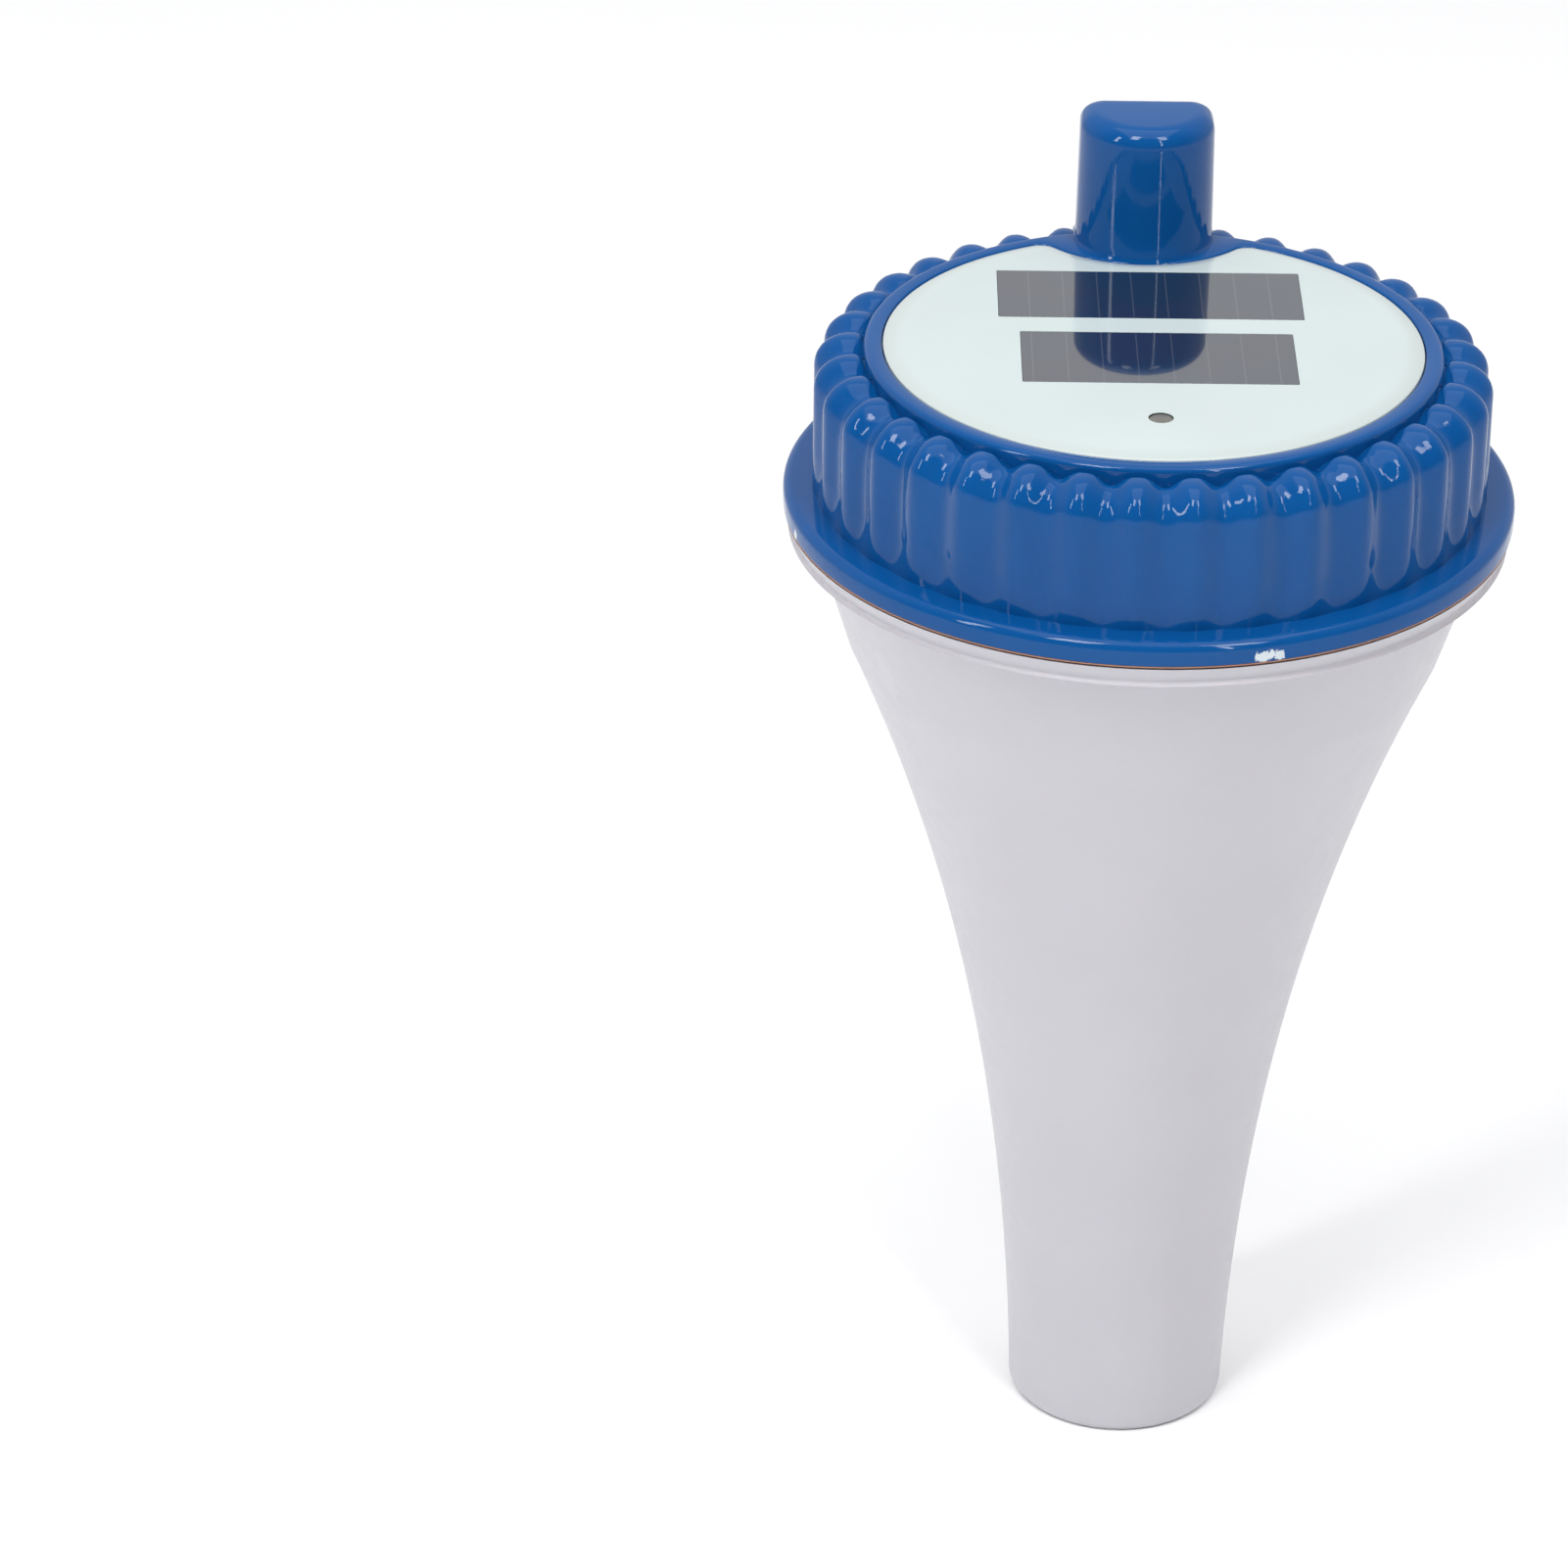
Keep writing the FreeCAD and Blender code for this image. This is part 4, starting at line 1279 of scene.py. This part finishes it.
PLASTICS = {
    "lens_gasket": MouldedPlastic(
        "foam_tape", (0.03, 0.03, 0.032), (0.05, 0.05, 0.052), 0.85, grain_depth=0.5
    ),
    "cell_carrier": MouldedPlastic("carrier_black", (0.012, 0.012, 0.014), (0.02, 0.02, 0.022), 0.5),
    "solar_leads": MouldedPlastic("wire_red", (0.35, 0.02, 0.015), (0.4, 0.03, 0.02), 0.4),
    "battery_leads": MouldedPlastic("wire_black", (0.015, 0.015, 0.016), (0.03, 0.03, 0.03), 0.4),
    "thermistor_leads": MouldedPlastic("wire_grey", (0.3, 0.3, 0.3), (0.36, 0.36, 0.36), 0.45),
    "indicator_led": MouldedPlastic("led_resin", (0.72, 0.7, 0.6), (0.8, 0.78, 0.68), 0.15, coat=0.5),
    "controller_chip": MouldedPlastic("chip_black", (0.014, 0.014, 0.015), (0.03, 0.03, 0.03), 0.6),
    "board_capacitors": MouldedPlastic("capacitor_sleeve", (0.015, 0.02, 0.06), (0.02, 0.03, 0.09), 0.3),
    "battery_chassis": MouldedPlastic("chassis_grey", (0.12, 0.12, 0.125), (0.15, 0.15, 0.155), 0.5),
    "probe_stem": MouldedPlastic("stem_plastic", (0.55, 0.55, 0.53), (0.6, 0.6, 0.58), 0.45),
    "ballast_retainer": MouldedPlastic("retainer_plastic", (0.5, 0.5, 0.48), (0.56, 0.56, 0.54), 0.5),
    "thermistor": MouldedPlastic("bead_epoxy", (0.01, 0.01, 0.01), (0.03, 0.03, 0.03), 0.25, coat=0.6),
    "channel_switch_body": MouldedPlastic("switch_black", (0.015, 0.015, 0.017), (0.03, 0.03, 0.03), 0.45),
    "sync_switch_body": MouldedPlastic("button_case", (0.018, 0.018, 0.02), (0.03, 0.03, 0.03), 0.45),
    "channel_slider": MouldedPlastic("slider_red", (0.45, 0.02, 0.015), (0.5, 0.03, 0.02), 0.35),
    "sync_button": MouldedPlastic("button_red", (0.48, 0.025, 0.018), (0.52, 0.035, 0.022), 0.35),
}

METALS = {
    "radio_shield": BareMetal("shield_steel", (0.56, 0.57, 0.58), (0.46, 0.46, 0.45), 0.3),
    "crystal_can": BareMetal("crystal_steel", (0.62, 0.62, 0.63), (0.5, 0.5, 0.5), 0.22),
    "chassis_screws": BareMetal("screw_steel", (0.5, 0.5, 0.5), (0.36, 0.35, 0.33), 0.3),
    "stem_nut": BareMetal("nut_steel", (0.55, 0.55, 0.54), (0.4, 0.39, 0.36), 0.3),
    "contact_springs": BareMetal("spring_nickel", (0.66, 0.63, 0.57), (0.5, 0.47, 0.4), 0.25),
    "contact_plates": BareMetal("plate_nickel", (0.64, 0.61, 0.55), (0.5, 0.47, 0.4), 0.3),
    "probe_tip": BareMetal("probe_steel", (0.6, 0.6, 0.6), (0.47, 0.46, 0.45), 0.25),
    "ballast_weight": BareMetal("ballast_iron", (0.24, 0.235, 0.23), (0.15, 0.11, 0.085), 0.55),
}


def battery_jacket(node: str) -> BatteryJacket:
    """Gives a battery's jacket, with its bands placed along the battery's own length."""
    low, high = node_box(node)
    return BatteryJacket(f"{node}_jacket", (0.018, 0.02, 0.025), (0.55, 0.3, 0.08), low.x, high.x)


def inner_finishes() -> dict[str, Any]:
    """Lists the finish of every CAD node that keeps its own mesh."""
    board = CircuitBoard("board_green", (0.01, 0.09, 0.03), (0.02, 0.15, 0.05))
    finishes: dict[str, Any] = {**PLASTICS, **METALS, "main_board": board, "antenna_board": board}
    for node in ("battery_rear", "battery_front"):
        finishes[node] = battery_jacket(node)
    return finishes


def dress_inner_pieces() -> None:
    """Gives each remaining CAD node its procedural finish."""
    made: dict[str, bpy.types.Material] = {}
    for node, finish in inner_finishes().items():
        if finish.name not in made:
            made[finish.name] = finish.material()
        dress(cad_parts[node], made[finish.name])
        log.info("%s has the finish %s", node, finish.name)


# -------------------- Studio --------------------


@dataclass(frozen=True)
class SoftLight:
    """A rectangular soft light: its direction from the object, its distance, size and power."""

    name: str
    azimuth: float
    elevation: float
    distance: float
    size: tuple[float, float]
    power: float

    def place(self, target: Vector) -> None:
        """Hangs the light so that it faces the target."""
        turn, rise = math.radians(self.azimuth), math.radians(self.elevation)
        level = math.cos(rise)
        direction = Vector((math.sin(turn) * level, -math.cos(turn) * level, math.sin(rise)))
        data = bpy.data.lights.new(self.name, "AREA")
        data.shape = "RECTANGLE"
        data.size, data.size_y = self.size
        data.energy = self.power
        light = bpy.data.objects.new(self.name, data)
        light.matrix_world = Matrix.Translation(target + direction * self.distance)
        light.matrix_world @= direction.to_track_quat("Z", "Y").to_matrix().to_4x4()
        bpy.context.scene.collection.objects.link(light)


@dataclass
class Studio:
    """A pale floor, a white dome, soft lights and the camera."""

    aim: Vector
    dome_front: float = 0.12
    dome_back: float = 0.78
    dome_colour: Colour = (0.985, 0.99, 1.0)
    floor_colour: Colour = (0.93, 0.93, 0.935)
    camera_place: tuple[float, float, float] = (-47.869, -867.107, 574.687)
    azimuth: float = -3.16
    elevation: float = 28.661
    fine_turns: tuple[float, float, float] = (2.229, 3.148, 0.443)
    lens: float = 146.41
    lights: tuple[SoftLight, ...] = (
        SoftLight("overhead", 0, 84, 3.0, (3.0, 3.0), 41.0),
        SoftLight("left_softbox", -58, 30, 1.5, (0.12, 0.75), 5.0),
        SoftLight("right_strip", 23, 30, 1.5, (0.035, 0.75), 2.4),
        SoftLight("left_window", -30, 56, 1.4, (0.26, 0.46), 6.2),
        SoftLight("right_window", 34, 54, 1.4, (0.26, 0.46), 4.8),
    )

    def build(self) -> None:
        """Sets up everything round the object."""
        self.build_dome()
        self.build_floor()
        for light in self.lights:
            light.place(self.aim)
        self.build_camera()
        bpy.context.scene.view_settings.view_transform = "Standard"

    def build_dome(self) -> None:
        """Makes the dome, which is white behind the object and dim in front of it."""
        world = bpy.data.worlds.new("dome")
        world.use_nodes = True
        sheet = NodeSheet(world.node_tree)
        direction = sheet.add("ShaderNodeTexCoord").outputs["Generated"]
        across = sheet.add("ShaderNodeSeparateXYZ", {0: direction}).outputs[1]
        strength = sheet.ramp(across, -0.5, 0.35, self.dome_front, self.dome_back)
        sky = sheet.add("ShaderNodeBackground", {"Color": rgba(self.dome_colour), "Strength": strength})
        sheet.add("ShaderNodeOutputWorld", {"Surface": sky.outputs[0]})
        bpy.context.scene.world = world

    def build_floor(self) -> None:
        """Lays the pale floor just under the foot."""
        bpy.ops.object.select_all(action="DESELECT")
        bpy.ops.mesh.primitive_plane_add(size=12.0, location=(0, 0, 0))
        floor = bpy.context.object
        floor.name = "studio_floor"
        material, sheet = new_material("studio_floor")
        where = sheet.object_place()
        tone = sheet.noise(where, 3.0, 2.0)
        darker = tuple(0.985 * value for value in self.floor_colour)
        colour = sheet.mix(tone, rgba(self.floor_colour), rgba(darker))
        sheet.close_surface({"Color": colour}, "ShaderNodeBsdfDiffuse")
        dress(floor, material)

    def build_camera(self) -> None:
        """Places the camera."""
        data = bpy.data.cameras.new("camera")
        data.lens = self.lens
        data.sensor_width = 36.0
        data.dof.use_dof = False
        camera = bpy.data.objects.new("camera", data)
        roll, yaw, pitch = (math.radians(turn) for turn in self.fine_turns)
        place = Matrix.Translation(Vector(self.camera_place) * MM)
        place @= Matrix.Rotation(math.radians(self.azimuth), 4, "Z")
        place @= Matrix.Rotation(math.radians(90 - self.elevation), 4, "X")
        place @= Matrix.Rotation(roll, 4, "Z")
        place @= Matrix.Rotation(yaw, 4, "Y")
        place @= Matrix.Rotation(pitch, 4, "X")
        camera.matrix_world = place
        bpy.context.scene.collection.objects.link(camera)
        bpy.context.scene.camera = camera


# -------------------- Assembly --------------------

WINDOWS = (
    Window(22.95, 8.0, 25.3),
    Window(20.35, -15.2, 2.9, middle_x=0.5),
)


def main() -> None:
    """Builds the pieces, the finishes and the studio."""
    logging.basicConfig(level=logging.INFO)
    _, hull_high = node_box("float_hull")
    cap_low, cap_high = node_box("screw_cap")
    lens_low, lens_high = node_box("window_lens")
    pipe_low, pipe_high = node_box("light_pipe")
    outline = NotchedOutline(radius=lens_high.x)
    FloatHull(rim_r=hull_high.x, neck_top=hull_high.z).build(hull_white().material())
    cap = ScrewCap(cap_high.x, cap_low.z, cap_high.z, outline, ring_top=lens_high.z - 0.6)
    cap.build(cap_blue().material())
    rubber = MouldedPlastic("seal_rubber", (0.42, 0.2, 0.13), (0.48, 0.25, 0.17), 0.6)
    SealRing("cap_gasket", lip_r=hull_high.x + 0.08).build(rubber.material())
    # The second colour is the painted shade of the lens rim, also used as the random mottle tint.
    print_white_and_rim_shade = ((0.52, 0.595, 0.592), (0.485, 0.545, 0.535))
    printed = PrintedLens("lens_print", *print_white_and_rim_shade, lens_high.x - 3.4, lens_high.x - 0.6)
    light = ((pipe_low.x + pipe_high.x) / 2, (pipe_low.y + pipe_high.y) / 2, pipe_high.z)
    lens = LensPlate(lens_high.z, lens_low.z, outline, WINDOWS, light)
    lens.build(printed.material())
    silicon = SolarLaminate("solar_silicon", (0.013, 0.022, 0.034), (0.021, 0.018, 0.032)).material()
    for side, window in zip(("rear", "front"), WINDOWS):
        SolarCell(f"{side}_cell", f"solar_cell_{side}", window, lens_high.z - 0.03).build(silicon)
    pipe = ClearPlastic("light_pipe", (0.19, 0.185, 0.165), 0.2, transmission=0.3)
    LightPipe("light_pipe", lens_high.z).build(pipe.material())
    dress_inner_pieces()
    Studio(aim=Vector((0, 0, 0.11))).build()


if __name__ == "__main__":
    main()
